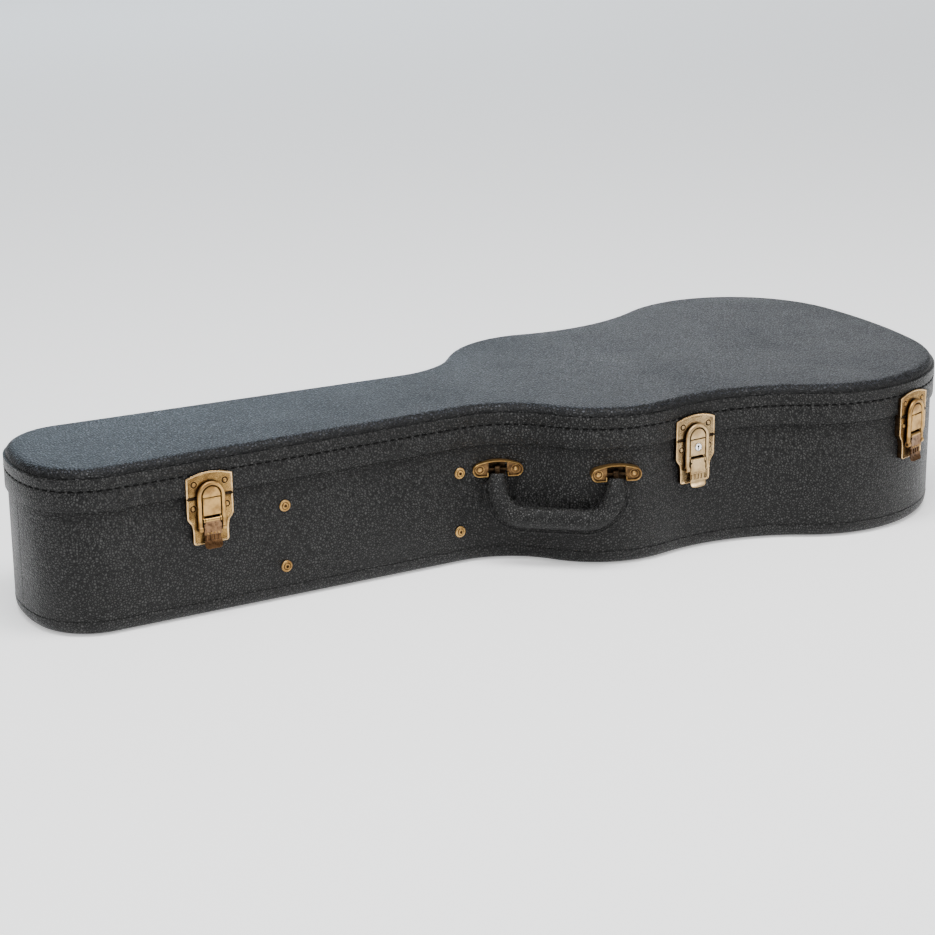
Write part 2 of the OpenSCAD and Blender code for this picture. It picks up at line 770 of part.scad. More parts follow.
// Flat steel strap that runs inside the grip from one end loop to the other
module core_solid() {
    for (s = [-1, 1]) translate([s * handle_half - core_wide, core_start, -core_half])
        cube([2 * core_wide, leg_end - core_start, 2 * core_half]);
    at_bends() translate([bend_radius - core_wide, -core_half]) square([2 * core_wide, 2 * core_half]);
    translate([-handle_half + bend_radius, grip_v - core_wide, -core_half])
        cube([2 * (handle_half - bend_radius), 2 * core_wide, 2 * core_half]);
}

module handle_grip() {
    color(vinyl_colour) in_handle() difference() {
        grip_solid();
        core_solid();
    }
}

module handle_core() {
    color(steel_colour) in_handle() core_solid();
}

seam_reach = 4.5;
seam_root = 2;
seam_half = 1.4;
stem_half = 2.2;
// Flat sewn edge around the outside of the grip
module handle_seam() {
    color(vinyl_colour) in_handle() difference() {
        union() {
            at_bends() translate([bend_radius + grip_wide - seam_root, -seam_half])
                square([seam_reach + seam_root, 2 * seam_half]);
            translate([-handle_half + bend_radius, grip_v + grip_wide - seam_root, -seam_half])
                cube([2 * (handle_half - bend_radius), seam_reach + seam_root, 2 * seam_half]);
        }
        grip_solid();
    }
}

// End loops that hang on the bracket pins
module handle_loops() {
    color(steel_colour) in_handle() for (s = [-1, 1]) translate([s * handle_half, 0, 0]) difference() {
        union() {
            rotate([0, 90, 0]) translate([0, 0, -loop_width / 2])
                cylinder(r = loop_outer, h = loop_width, $fn = 48);
            translate([-loop_width / 2, 0, -stem_half]) cube([loop_width, leg_top_v, 2 * stem_half]);
        }
        rotate([0, 90, 0]) translate([0, 0, -loop_width])
            cylinder(r = loop_hole, h = 2 * loop_width, $fn = 48);
    }
}

// --- hinges: the pin line touches both the head corner and the lower bout from outside ---
hinge_reach = norm(lower_c - corner_c);
hinge_turn = ang(lower_c - corner_c) + asin((lower_bout_radius - head_corner_radius) / hinge_reach);
hinge_normal = [-sin(hinge_turn), cos(hinge_turn)];
hinge_stand = 5;
hinge_lower = lower_c + (lower_bout_radius + hinge_stand) * hinge_normal;
hinge_upper_along = (upper_c - hinge_lower) * [cos(hinge_turn), sin(hinge_turn)];
hinge_upper = hinge_lower + hinge_upper_along * [cos(hinge_turn), sin(hinge_turn)];
hinge_width = 44;
knuckle_radius = 3;
hinge_pin = 1.5;
hinge_slack = 0.06;
leaf_in = 4.2;
leaf_out = 2.7;
leaf_start = 2.2;
leaf_tall = 26;
leaf_rivet = [13, 16];
leaf_head_radius = 3;
leaf_head_rise = 1.5;
leaf_root = 0.7;
root_start = 0.3;
knuckle_gap = 0.15;
packer_deep = 16;

module at_hinge(p) {
    translate([p[0] - case_length / 2, p[1], split_z]) rotate([0, 0, hinge_turn]) children();
}

// Rolled knuckle from u0 to u1 with the strip that joins it to its leaf
module knuckle(u0, u1, side) {
    translate([u0, 0, 0]) rotate([0, 90, 0]) cylinder(r = knuckle_radius, h = u1 - u0, $fn = 32);
    translate([u0, -leaf_in, side > 0 ? root_start : -leaf_start - leaf_root - root_start])
        cube([u1 - u0, leaf_in - leaf_out, leaf_start + leaf_root]);
}

// One leaf with its knuckles: side 1 stands on the lid, side -1 on the body
module hinge_leaf(p, side) {
    third = hinge_width / 3;
    bore = side > 0 ? hinge_pin + hinge_slack : hinge_pin;
    color(brass_colour) at_hinge(p) difference() {
        union() {
            translate([-hinge_width / 2, -leaf_in, side > 0 ? leaf_start : -leaf_tall])
                cube([hinge_width, leaf_in - leaf_out, leaf_tall - leaf_start]);
            if (side > 0) knuckle(-third / 2 + knuckle_gap, third / 2 - knuckle_gap, side);
            if (side < 0) for (s = [-1, 1]) knuckle(s > 0 ? third / 2 + knuckle_gap : -hinge_width / 2,
                s > 0 ? hinge_width / 2 : -third / 2 - knuckle_gap, side);
        }
        translate([-hinge_width, 0, 0]) rotate([0, 90, 0]) cylinder(r = bore, h = 2 * hinge_width, $fn = 32);
        for (s = [-1, 1]) translate([s * leaf_rivet[0], -1, side * leaf_rivet[1]]) rotate([90, 0, 0])
            cylinder(r = plate_rivet, h = 6, $fn = 24);
    }
}

module hinge_pins() {
    color(steel_colour) for (p = [hinge_upper, hinge_lower]) at_hinge(p)
        translate([-hinge_width / 2, 0, 0]) rotate([0, 90, 0])
            cylinder(r = hinge_pin, h = hinge_width, $fn = 32);
}

module hinge_rivets(side) {
    color(brass_colour) for (p = [hinge_upper, hinge_lower]) at_hinge(p) for (s = [-1, 1])
        translate([s * leaf_rivet[0], -leaf_out, side * leaf_rivet[1]]) rotate([-90, 0, 0]) {
            rivet_head(leaf_head_radius, leaf_head_rise);
            translate([0, 0, leaf_out - leaf_in]) cylinder(r = plate_rivet, h = leaf_in - leaf_out, $fn = 24);
        }
}

// Packing blocks between the hinge leaves and the curved wall
module hinge_packers(side, d) {
    color(vinyl_colour) for (p = [hinge_upper, hinge_lower]) difference() {
        at_hinge(p) translate([-hinge_width / 2, -leaf_in - packer_deep,
            side > 0 ? leaf_start : -leaf_tall])
            cube([hinge_width, packer_deep, leaf_tall - leaf_start]);
        slab(d, 0, case_height);
    }
}

// --- lid ---
module lid_cover() {
    color(vinyl_colour) lofted(concat(
        quarter(-lid_inset, edge_radius, lid_spring_z, 1, 0, 90, round_steps),
        [[-lid_inset, lid_bottom_z], [lid_cover_in, lid_bottom_z]],
        quarter(-lid_inset, edge_radius - vinyl, lid_spring_z, 1, 90, 0, round_steps)));
}

module lid_panel() {
    color(ply_colour) lofted(concat(
        quarter(-lid_inset, edge_radius - vinyl, lid_spring_z, 1, 0, 90, round_steps),
        [[lid_shell_in, lid_spring_z], [lid_shell_in, lid_under_z]]));
}

module lid_wall() {
    color(ply_colour) ring(lid_cover_in, lid_shell_in, lid_bottom_z, lid_spring_z);
}

module lid_band() {
    color(vinyl_colour) ring(0, -lid_inset, split_z, band_top_z);
}

module lid_wall_lining() {
    color(plush_colour) ring(lid_shell_in, lid_lining_in, lid_bottom_z + 0.5, lid_under_z - lid_plush);
}

module lid_top_lining() {
    color(plush_colour) slab(lid_shell_in, lid_under_z - lid_plush, lid_under_z);
}

bottom_panel();
body_shell();
bottom_cover();
bottom_edge_cover();
body_cover();
rim_binding();
body_lining();
floor_lining();
compartment_head_wall();
compartment_neck_wall();
neck_cradle();
flap_batten();
compartment_rivets();
latch_base(0);  // latch_1_base
latch_base(1);  // latch_2_base
latch_base(2);  // latch_3_base
base_rivets();
lever_pins();
handle_bracket_head();
handle_bracket_tail();
bracket_rivets();
bracket_pins();
hinge_leaf(hinge_upper, -1);  // hinge_upper_body_leaf
hinge_leaf(hinge_lower, -1);  // hinge_lower_body_leaf
hinge_packers(-1, -body_inset);  // body_hinge_packers
hinge_rivets(-1);  // body_hinge_rivets
hinge_pins();
lid_panel();
lid_wall();
lid_cover();
lid_band();
lid_wall_lining();
lid_top_lining();
latch_strike(0);  // latch_1_strike
latch_strike(1);  // latch_2_strike
latch_strike(2);  // latch_3_strike
strike_rivets();
hinge_leaf(hinge_upper, 1);  // hinge_upper_lid_leaf
hinge_leaf(hinge_lower, 1);  // hinge_lower_lid_leaf
hinge_packers(1, 0);  // lid_hinge_packers
hinge_rivets(1);  // lid_hinge_rivets
latch_lever(0);  // latch_1_lever
latch_lever(1);  // latch_2_lever
latch_lever(2);  // latch_3_lever
bail_pin(0);  // latch_1_bail_pin
bail_pin(1);  // latch_2_bail_pin
bail_pin(2);  // latch_3_bail_pin
latch_bail(0);  // latch_1_bail
latch_bail(1);  // latch_2_bail
latch_bail(2);  // latch_3_bail
lock_rotor();
lock_cam();
handle_grip();
handle_core();
handle_seam();
handle_loops();
compartment_flap();
flap_tab();
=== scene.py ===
"""Guitar case: skins, linings, stitching, brass hardware and handle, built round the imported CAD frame.

Lengths are in millimetres until a mesh is made, and the Blender objects are in metres.
Along the case x runs from the head end (0 in the outline, -LENGTH / 2 in the frame) to the wide tail end,
-y is the side with the latches and the handle, and +y is the hinge side.
"""

import json
import math

import bmesh
import bpy
from mathutils import Matrix, Vector


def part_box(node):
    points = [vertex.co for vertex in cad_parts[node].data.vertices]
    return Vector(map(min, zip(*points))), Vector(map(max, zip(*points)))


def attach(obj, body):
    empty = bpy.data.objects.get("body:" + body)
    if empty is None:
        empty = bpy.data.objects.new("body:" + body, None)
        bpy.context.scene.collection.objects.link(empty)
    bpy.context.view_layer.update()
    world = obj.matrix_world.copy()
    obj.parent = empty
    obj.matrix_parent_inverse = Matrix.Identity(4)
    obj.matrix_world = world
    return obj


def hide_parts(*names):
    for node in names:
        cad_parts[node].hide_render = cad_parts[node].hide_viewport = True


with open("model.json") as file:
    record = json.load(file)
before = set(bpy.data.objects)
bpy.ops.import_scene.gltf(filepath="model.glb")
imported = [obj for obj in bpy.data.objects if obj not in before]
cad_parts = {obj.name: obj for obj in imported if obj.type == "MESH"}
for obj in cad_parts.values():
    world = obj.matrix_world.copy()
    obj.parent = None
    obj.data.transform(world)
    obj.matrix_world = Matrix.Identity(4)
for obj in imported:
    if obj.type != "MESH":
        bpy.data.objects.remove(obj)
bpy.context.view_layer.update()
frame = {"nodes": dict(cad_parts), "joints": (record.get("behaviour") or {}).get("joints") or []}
MM = 0.001
UP = Vector((0, 0, 1))


def low(node):
    return [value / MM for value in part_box(node)[0]]


def high(node):
    return [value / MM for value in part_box(node)[1]]


def collection_link(obj):
    bpy.context.scene.collection.objects.link(obj)
    return obj


def axes_at(origin, x, y, z):
    """Matrix that puts a frame's three axes at a place in metres."""
    return Matrix.Translation(origin) @ Matrix((x, y, z)).transposed().to_4x4()


def ray(turn):
    """Unit vector at an angle."""
    return Vector((math.cos(turn), math.sin(turn)))


def spread(start, end, count):
    """Values from start to end in equal steps, both included."""
    return [start + (end - start) * i / count for i in range(count + 1)]


def spokes(count):
    """Angles evenly round a circle."""
    return [2 * math.pi * i / count for i in range(count)]


# --- camera: the photograph's viewing angle ---
AZIMUTH = math.radians(-28.25)
ELEVATION = math.radians(17.82)
ROLL = math.radians(-0.44)
DISTANCE = 2.722
AIM = Vector((0, 0, 0.088))
LENS = 94.04
SENSOR = 36
SHIFT = (-0.0166, -0.0102)
CLIP = (0.05, 40)


def add_camera():
    data = bpy.data.cameras.new("camera")
    data.lens = LENS
    data.sensor_width = SENSOR
    data.shift_x, data.shift_y = SHIFT
    data.clip_start, data.clip_end = CLIP
    camera = collection_link(bpy.data.objects.new("camera", data))
    level = math.cos(ELEVATION)
    back = Vector((math.sin(AZIMUTH) * level, -math.cos(AZIMUTH) * level, math.sin(ELEVATION)))
    right = Vector((math.cos(AZIMUTH), math.sin(AZIMUTH), 0))
    tilted_right = math.cos(ROLL) * right + math.sin(ROLL) * back.cross(right)
    camera.matrix_world = axes_at(AIM + DISTANCE * back, tilted_right, back.cross(tilted_right), back)
    bpy.context.scene.camera = camera


add_camera()

# --- sizes read from the frame ---
LENGTH = high("lid_band")[0] - low("lid_band")[0]
SPLIT_Z = low("lid_band")[2]
BAND_TOP_Z = high("lid_band")[2]
TOP_Z = high("lid_cover")[2]
LID_BOTTOM_Z = low("lid_cover")[2]
LID_UNDER_Z = high("lid_top_lining")[2]
BODY_TOP_Z = low("rim_binding")[2]
RIM_Z = high("rim_binding")[2]
SEAM_Z = low("body_cover")[2]
FLOOR_Z = low("floor_lining")[2]
PLUSH_Z = high("floor_lining")[2]

# --- walls: how far each face lies inside the band's outer face ---
EDGE_RADIUS = 11
VINYL = 1.2
PLY = 5
PLUSH = 4
LID_PLUSH = 3
LID_INSET = 2
BODY_INSET = 3

# --- outline: arcs that touch each other ---
HEAD_RADIUS = 160
CORNER_RADIUS = 70
NECK_HALF = 91.5
NECK_TAPER = -0.024
SHOULDER_RADIUS = 100
UPPER_BOUT = Vector((653, 50))
UPPER_RADIUS = 121
WAIST_RADIUS = 225
LOWER_BOUT_Y = 62
LOWER_RADIUS = 154
TAIL_RADIUS = 580
OUTLINE_STEP = 6
NECK_ANGLE = math.atan2(1, -NECK_TAPER)
NECK_SLANT = math.hypot(1, NECK_TAPER)


def beside_neck(centre, depth, reach):
    """Centre of a corner: depth inside the neck's side, and reach from another centre."""
    start = NECK_HALF - depth * NECK_SLANT
    rise = start - centre.y
    b = NECK_TAPER * rise - centre.x
    c = centre.length_squared - centre.y**2 + rise**2 - reach**2
    x = (-b - math.sqrt(b * b - NECK_SLANT**2 * c)) / NECK_SLANT**2
    return Vector((x, start + NECK_TAPER * x))


END = Vector((HEAD_RADIUS, 0))
CORNER = beside_neck(END, CORNER_RADIUS, HEAD_RADIUS - CORNER_RADIUS)
SHOULDER = beside_neck(UPPER_BOUT, -SHOULDER_RADIUS, UPPER_RADIUS + SHOULDER_RADIUS)
TAIL = Vector((LENGTH - TAIL_RADIUS, 0))
LOWER_BOUT = TAIL + Vector((math.sqrt((TAIL_RADIUS - LOWER_RADIUS)**2 - LOWER_BOUT_Y**2), LOWER_BOUT_Y))
BOUT_GAP = LOWER_BOUT - UPPER_BOUT
UPPER_REACH = UPPER_RADIUS + WAIST_RADIUS
LOWER_REACH = LOWER_RADIUS + WAIST_RADIUS
WAIST_ALONG = (UPPER_REACH**2 - LOWER_REACH**2 + BOUT_GAP.length_squared) / (2 * BOUT_GAP.length)
WAIST_ACROSS = math.sqrt(UPPER_REACH**2 - WAIST_ALONG**2)
WAIST = (UPPER_BOUT + WAIST_ALONG * BOUT_GAP.normalized()
         + WAIST_ACROSS * Vector((-BOUT_GAP.y, BOUT_GAP.x)).normalized())


def heading(start, end):
    return math.atan2(end.y - start.y, end.x - start.x)


def arc(centre, radius, start, end, side=1):
    """Points along an arc with their outward normals; side is -1 where the outline is hollow."""
    count = max(2, math.ceil(abs(end - start) * radius / OUTLINE_STEP))
    rays = [ray(turn) for turn in spread(start, end, count)]
    return [(centre + radius * out, side * out) for out in rays]


def half_outline():
    """The +y half from the head end to the tail end, as points and outward normals."""
    head = arc(END, HEAD_RADIUS, math.pi, heading(END, CORNER))
    head += arc(CORNER, CORNER_RADIUS, heading(END, CORNER), NECK_ANGLE)[1:]
    bouts = arc(SHOULDER, SHOULDER_RADIUS, NECK_ANGLE - math.pi, heading(SHOULDER, UPPER_BOUT), -1)
    bouts += arc(UPPER_BOUT, UPPER_RADIUS, heading(UPPER_BOUT, SHOULDER), heading(UPPER_BOUT, WAIST))[1:]
    bouts += arc(WAIST, WAIST_RADIUS, heading(WAIST, UPPER_BOUT), heading(WAIST, LOWER_BOUT), -1)[1:]
    bouts += arc(LOWER_BOUT, LOWER_RADIUS, heading(LOWER_BOUT, WAIST), heading(TAIL, LOWER_BOUT))[1:]
    bouts += arc(TAIL, TAIL_RADIUS, heading(TAIL, LOWER_BOUT), 0)[1:]
    (start, normal), (end, _) = head[-1], bouts[0]
    count = math.ceil((end - start).length / OUTLINE_STEP)
    side = [(start.lerp(end, i / count), normal) for i in range(1, count)]
    return head + side + bouts


def whole_outline():
    """The closed outline about the middle of the length, counter-clockwise from the head end."""
    half = half_outline()
    front = [(Vector((p.x, -p.y)), Vector((n.x, -n.y))) for p, n in half]
    shift = Vector((LENGTH / 2, 0))
    return [(p - shift, n) for p, n in front + half[-2:0:-1]]


OUTLINE = whole_outline()


def rings(profile, outline=OUTLINE):
    """The outline at (offset, height) pairs, offset outwards from the band's outer face."""
    return [[(p.x + offset * n.x, p.y + offset * n.y, z) for p, n in outline] for offset, z in profile]


def flat(loop, height):
    return [(p[0], p[1], height) for p in loop]


# --- meshes ---
PANEL_COLUMNS = 14


class Shape:
    """Points in millimetres and faces, with the number of the material that each face takes."""

    def __init__(self):
        self.points = []
        self.faces = []
        self.skins = []

    def add(self, points, faces, skin=0):
        first = len(self.points)
        self.points += [tuple(p) for p in points]
        self.faces += [tuple(first + i for i in face) for face in faces]
        self.skins += [skin] * len(faces)
        return self

    def tube(self, loops, skin=0, joined=False, ends=True):
        """Skin over closed lines of equal length; joined turns the last back to the first."""
        n, m = len(loops[0]), len(loops)
        faces = [(j * n + i, j * n + (i + 1) % n, (j + 1) % m * n + (i + 1) % n, (j + 1) % m * n + i)
                 for j in range(m if joined else m - 1) for i in range(n)]
        if ends and not joined:
            faces += [tuple(range(n)), tuple((m - 1) * n + i for i in range(n))]
        return self.add([p for loop in loops for p in loop], faces, skin)

    def across(self, loop, lift=None):
        """Grid that fills a loop of the outline, one row for each pair of points on its two sides."""
        half = len(loop) // 2
        points = []
        for i in range(half + 1):
            a, b = Vector(loop[i]), Vector(loop[-i % len(loop)])
            row = [a.lerp(b, k / PANEL_COLUMNS) for k in range(PANEL_COLUMNS + 1)]
            points += [p + lift(p, a) * UP if lift else p for p in row]
        width = PANEL_COLUMNS + 1
        faces = [(r * width + k, (r + 1) * width + k, (r + 1) * width + k + 1, r * width + k + 1)
                 for r in range(half) for k in range(PANEL_COLUMNS)]
        return self.add(points, faces)

    def turned(self, profile, origin=(0, 0, 0), axis=UP, steps=24, skin=0):
        """Solid turned about an axis, from a list of (radius, height)."""
        turn = UP.rotation_difference(Vector(axis)).to_matrix()
        loops = [[Vector(origin) + turn @ Vector((r * math.cos(t), r * math.sin(t), h))
                  for t in spokes(steps)] for r, h in profile]
        return self.tube(loops, skin)

    def prism(self, outline, bottom, top, skin=0):
        """Solid of a flat outline between two heights."""
        return self.tube([flat(outline, bottom), flat(outline, top)], skin)

    def merge(self, other, place):
        """Adds another shape, moved by a matrix in metres."""
        first = len(self.points)
        self.points += [tuple(place @ (Vector(p) * MM) / MM) for p in other.points]
        self.faces += [tuple(first + i for i in face) for face in other.faces]
        self.skins += other.skins
        return self


MERGE_DISTANCE = 0.002
SHARP_ANGLE = math.radians(40)
BEVEL_ANGLE = math.radians(35)


def piece(name, shape, materials, body, stands_for=(), place=None, bevel=None):
    """Object of a shape in a frame of its own, riding on a body, for the CAD nodes it stands for."""
    mesh = bpy.data.meshes.new(name)
    mesh.from_pydata([tuple(MM * value for value in p) for p in shape.points], [], shape.faces)
    for material in materials:
        mesh.materials.append(material)
    mesh.polygons.foreach_set("material_index", shape.skins)
    work = bmesh.new()
    work.from_mesh(mesh)
    bmesh.ops.remove_doubles(work, verts=work.verts, dist=MERGE_DISTANCE * MM)
    bmesh.ops.recalc_face_normals(work, faces=work.faces)
    work.to_mesh(mesh)
    work.free()
    mesh.polygons.foreach_set("use_smooth", [True] * len(mesh.polygons))
    mesh.set_sharp_from_angle(angle=SHARP_ANGLE)
    obj = collection_link(bpy.data.objects.new(name, mesh))
    if place is not None:
        obj.matrix_world = place
    if bevel:
        soften(obj, *bevel)
    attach(obj, body)
    if stands_for:
        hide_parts(*stands_for)
    return obj


def soften(obj, width, segments):
    rounding = obj.modifiers.new("soft_edges", "BEVEL")
    rounding.width = width * MM
    rounding.segments = segments
    rounding.limit_method = "ANGLE"
    rounding.angle_limit = BEVEL_ANGLE
    rounding.harden_normals = True


def inset(loop, distance):
    """A closed flat line, counter-clockwise, moved inwards."""
    moved = []
    for i, here in enumerate(loop):
        here = Vector(here)
        before = (here - Vector(loop[i - 1])).normalized()
        after = (Vector(loop[(i + 1) % len(loop)]) - here).normalized()
        normal = Vector((-before.y - after.y, before.x + after.x)).normalized()
        reach = distance / max(0.5, normal.dot(Vector((-before.y, before.x))))
        moved.append(here + reach * normal)
    return moved


def stepped(loop, steps):
    """Loops of a flat outline at (inset, height) pairs."""
    return [flat(inset(loop, distance), height) for distance, height in steps]


def curve(start, middle, end, count):
    """Points of a bent line, without its start."""
    a, b, c = Vector(start), Vector(middle), Vector(end)
    return [tuple(a.lerp(b, i / count).lerp(b.lerp(c, i / count), i / count)) for i in range(1, count + 1)]


def round_points(centre, radius, start, end, count):
    """Points on an arc, in degrees."""
    turns = [math.radians(turn) for turn in spread(start, end, count)]
    return [(centre[0] + radius * math.cos(t), centre[1] + radius * math.sin(t)) for t in turns]


def rounded_box(x0, y0, x1, y1, radius, count=4):
    corners = [(x0, y0, 180), (x1, y0, 270), (x1, y1, 0), (x0, y1, 90)]
    points = []
    for x, y, start in corners:
        centre = (x + radius if x == x0 else x - radius, y + radius if y == y0 else y - radius)
        points += round_points(centre, radius, start, start + 90, count)
    return points


# --- materials ---
def new_material(name, colour, roughness, metallic=0.0, **sockets):
    """A Principled material; further keywords set its sockets, with _ for a space."""
    made = bpy.data.materials.new(name)
    made.use_nodes = True
    shader = made.node_tree.nodes["Principled BSDF"]
    shader.inputs["Base Color"].default_value = (*colour, 1)
    shader.inputs["Roughness"].default_value = roughness
    shader.inputs["Metallic"].default_value = metallic
    for key, value in sockets.items():
        shader.inputs[key.replace("_", " ")].default_value = value
    return made


def add_node(tree, kind, settings=None, **inputs):
    """A node with its settings, and with each input set to a value or joined to a socket."""
    made = tree.nodes.new(kind)
    for key, value in (settings or {}).items():
        setattr(made, key, value)
    for key, value in inputs.items():
        socket = made.inputs[key.replace("_", " ")] if not key.startswith("in") else made.inputs[int(key[2:])]
        if isinstance(value, bpy.types.NodeSocket):
            tree.links.new(value, socket)
        else:
            socket.default_value = value
    return made


def object_coords(tree):
    return tree.nodes.new("ShaderNodeTexCoord").outputs["Object"]


def noise(tree, coords, scale, detail=2.0, roughness=0.5):
    made = add_node(tree, "ShaderNodeTexNoise", Vector=coords, Scale=scale, Detail=detail,
                    Roughness=roughness)
    return made.outputs["Fac"]


def remap(tree, value, low_in, high_in, low_out=0.0, high_out=1.0, smooth=False):
    settings = {"interpolation_type": "SMOOTHSTEP" if smooth else "LINEAR"}
    made = add_node(tree, "ShaderNodeMapRange", settings, Value=value, From_Min=low_in, From_Max=high_in,
                    To_Min=low_out, To_Max=high_out)
    return made.outputs["Result"]


def math_node(tree, operation, a, b):
    return add_node(tree, "ShaderNodeMath", {"operation": operation}, in0=a, in1=b).outputs[0]


def added(tree, a, b):
    return math_node(tree, "ADD", a, b)


def times(tree, a, b):
    return math_node(tree, "MULTIPLY", a, b)


def waves(tree, coords, direction, scale, distortion=0.0):
    made = add_node(tree, "ShaderNodeTexWave", {"bands_direction": direction}, Vector=coords, Scale=scale,
                    Distortion=distortion)
    return made.outputs["Fac"]


def grey(value):
    return (value, value, value)


def blend_colours(tree, factor, a, b):
    made = add_node(tree, "ShaderNodeMix", {"data_type": "RGBA"}, in0=factor)
    made.inputs[6].default_value = (*a, 1)
    made.inputs[7].default_value = (*b, 1)
    return made.outputs[2]


def join(material, socket, value):
    material.node_tree.links.new(value, material.node_tree.nodes["Principled BSDF"].inputs[socket])


def bump(material, height, strength, distance):
    tree = material.node_tree
    made = add_node(tree, "ShaderNodeBump", Height=height, Strength=strength, Distance=distance)
    join(material, "Normal", made.outputs["Normal"])


# where the painted sheen of the lid's top begins over the painted shade of its shoulder, and where it ends,
# below the top
SHEEN_SPAN = (7, 0.4)
VINYL_SPECULAR = 0.22
PEBBLE_EDGE = 0.32
LUMP_HEIGHT = 0.45
PORE_HEIGHT = 0.08


def top_sheen_over_shoulder_shade(tree, coords, colour, shoulder_shade):
    """Colour that goes from painted shade on the lid's shoulder to a painted sheen on its flat top."""
    height = add_node(tree, "ShaderNodeSeparateXYZ", Vector=coords).outputs["Z"]
    start, end = [(TOP_Z - below) * MM for below in SHEEN_SPAN]
    sheen_share = remap(tree, height, start, end, smooth=True)
    return blend_colours(tree, sheen_share, shoulder_shade, colour)


def grained_vinyl(name, colour, crease, roughness, cell, depth, shoulder_shade=None):
    """Leather-grained vinyl: pebbles of a given size in millimetres, parted by soft creases, with glints
    painted pale on the pebble tops and shade painted dark in the creases.
    """
    made = new_material(name, colour, roughness, Specular_IOR_Level=VINYL_SPECULAR)
    tree = made.node_tree
    coords = object_coords(tree)
    size = cell * MM
    drift = add_node(tree, "ShaderNodeTexNoise", Vector=coords, Scale=0.35 / size, Detail=2.0)
    bent = add_node(tree, "ShaderNodeVectorMath", {"operation": "MULTIPLY_ADD"},
                    in0=drift.outputs["Color"], in1=grey(0.7 * size), in2=coords).outputs[0]
    cells = add_node(tree, "ShaderNodeTexVoronoi", {"feature": "DISTANCE_TO_EDGE"}, Vector=bent,
                     Scale=1 / size).outputs["Distance"]
    pebble = remap(tree, cells, 0.0, PEBBLE_EDGE, smooth=True)
    lumps = noise(tree, coords, 0.8 / size, 3.0, 0.6)
    pores = noise(tree, coords, 4.5 / size, 2.0, 0.5)
    height = added(tree, times(tree, lumps, LUMP_HEIGHT), pebble)
    height = added(tree, times(tree, pores, PORE_HEIGHT), height)
    bump(made, height, 1.0, depth * MM)
    # painted highlight: the pebble tops are paler as the lamps' glints, and the creases darker as painted
    # shade
    painted_glint = remap(tree, cells, 0.09, 0.38, 0.0, 0.8, smooth=True)
    tone = added(tree, painted_glint, times(tree, pebble, 0.12))
    tone = times(tree, tone, remap(tree, lumps, 0.35, 0.65, 0.7, 1.0))
    grain = blend_colours(tree, tone, crease, colour)
    # painted shade on the lid's shoulder, under a painted sheen on its top
    if shoulder_shade:
        tree.links.new(top_sheen_over_shoulder_shade(tree, coords, colour, shoulder_shade), grain.node.inputs[7])
    join(made, "Base Color", grain)
    wear = noise(tree, coords, 9.0, 3.0, 0.55)
    gloss = remap(tree, wear, 0.3, 0.7, roughness - 0.05, roughness + 0.06)
    join(made, "Roughness", added(tree, gloss, remap(tree, pebble, 0.0, 1.0, 0.12, 0.0)))
    return made


def aged_metal(name, bright, dull, roughness, patches=70.0):
    """Plated metal with a tarnish that gathers in soft patches, darker in crevices as patina and painted
    shade, and fine brushing.
    """
    made = new_material(name, bright, roughness, 1.0)
    tree = made.node_tree
    coords = object_coords(tree)
    tarnish = remap(tree, noise(tree, coords, patches, 5.0, 0.62), 0.38, 0.68, smooth=True)
    # crevices darkened by occlusion: partly patina in the hollows, partly painted shade
    occlusion = add_node(tree, "ShaderNodeAmbientOcclusion", {"samples": 8}, Distance=4.5 * MM).outputs["AO"]
    patina_and_shade_in_hollows = remap(tree, occlusion, 0.35, 0.95, 0.22, 1.0, smooth=True)
    shade = add_node(tree, "ShaderNodeMix", {"data_type": "RGBA", "blend_type": "MULTIPLY"}, in0=1.0)
    tree.links.new(blend_colours(tree, tarnish, bright, dull), shade.inputs[6])
    tree.links.new(patina_and_shade_in_hollows, shade.inputs[7])
    join(made, "Base Color", shade.outputs[2])
    fine = noise(tree, coords, 900.0, 2.0, 0.6)
    join(made, "Roughness", added(tree, remap(tree, tarnish, 0.0, 1.0, roughness - 0.05, roughness + 0.12),
                                  remap(tree, fine, 0.3, 0.7, -0.03, 0.05)))
    bump(made, added(tree, fine, times(tree, tarnish, 0.6)), 0.25, 0.05 * MM)
    return made


def plush_fabric(name, colour, tip):
    """Short pile: a soft sheen, lighter tips and strokes where the pile leans another way."""
    made = new_material(name, colour, 0.92, Sheen_Weight=0.55, Sheen_Roughness=0.4)
    tree = made.node_tree
    coords = object_coords(tree)
    pile = noise(tree, coords, 1500.0, 3.0, 0.7)
    strokes = noise(tree, coords, 22.0, 3.0, 0.6)
    tone = added(tree, remap(tree, strokes, 0.3, 0.7, 0.0, 0.55), remap(tree, pile, 0.3, 0.7, 0.0, 0.45))
    join(made, "Base Color", blend_colours(tree, tone, colour, tip))
    bump(made, added(tree, pile, times(tree, strokes, 1.5)), 0.7, 0.35 * MM)
    return made


def plywood(name, colour, dark, pale):
    """Wood with thin layers one above another."""
    made = new_material(name, colour, 0.6)
    tree = made.node_tree
    coords = object_coords(tree)
    layers = waves(tree, coords, "Z", 320.0, 1.5)
    grain = noise(tree, coords, 60.0, 6.0, 0.6)
    join(made, "Base Color", blend_colours(tree, times(tree, layers, grain), dark, pale))
    bump(made, grain, 0.4, 0.1 * MM)
    return made


def woven(name, colour, tip, scale, sheen=0.3, shine=0.5):
    """Ribbon or thread: fine crossed ribs."""
    made = new_material(name, colour, 0.7, Sheen_Weight=sheen, Specular_IOR_Level=shine)
    tree = made.node_tree
    coords = object_coords(tree)
    ribs = times(tree, waves(tree, coords, "X", scale), waves(tree, coords, "Z", scale))
    join(made, "Base Color", blend_colours(tree, ribs, colour, tip))
    bump(made, ribs, 0.6, 0.1 * MM)
    return made


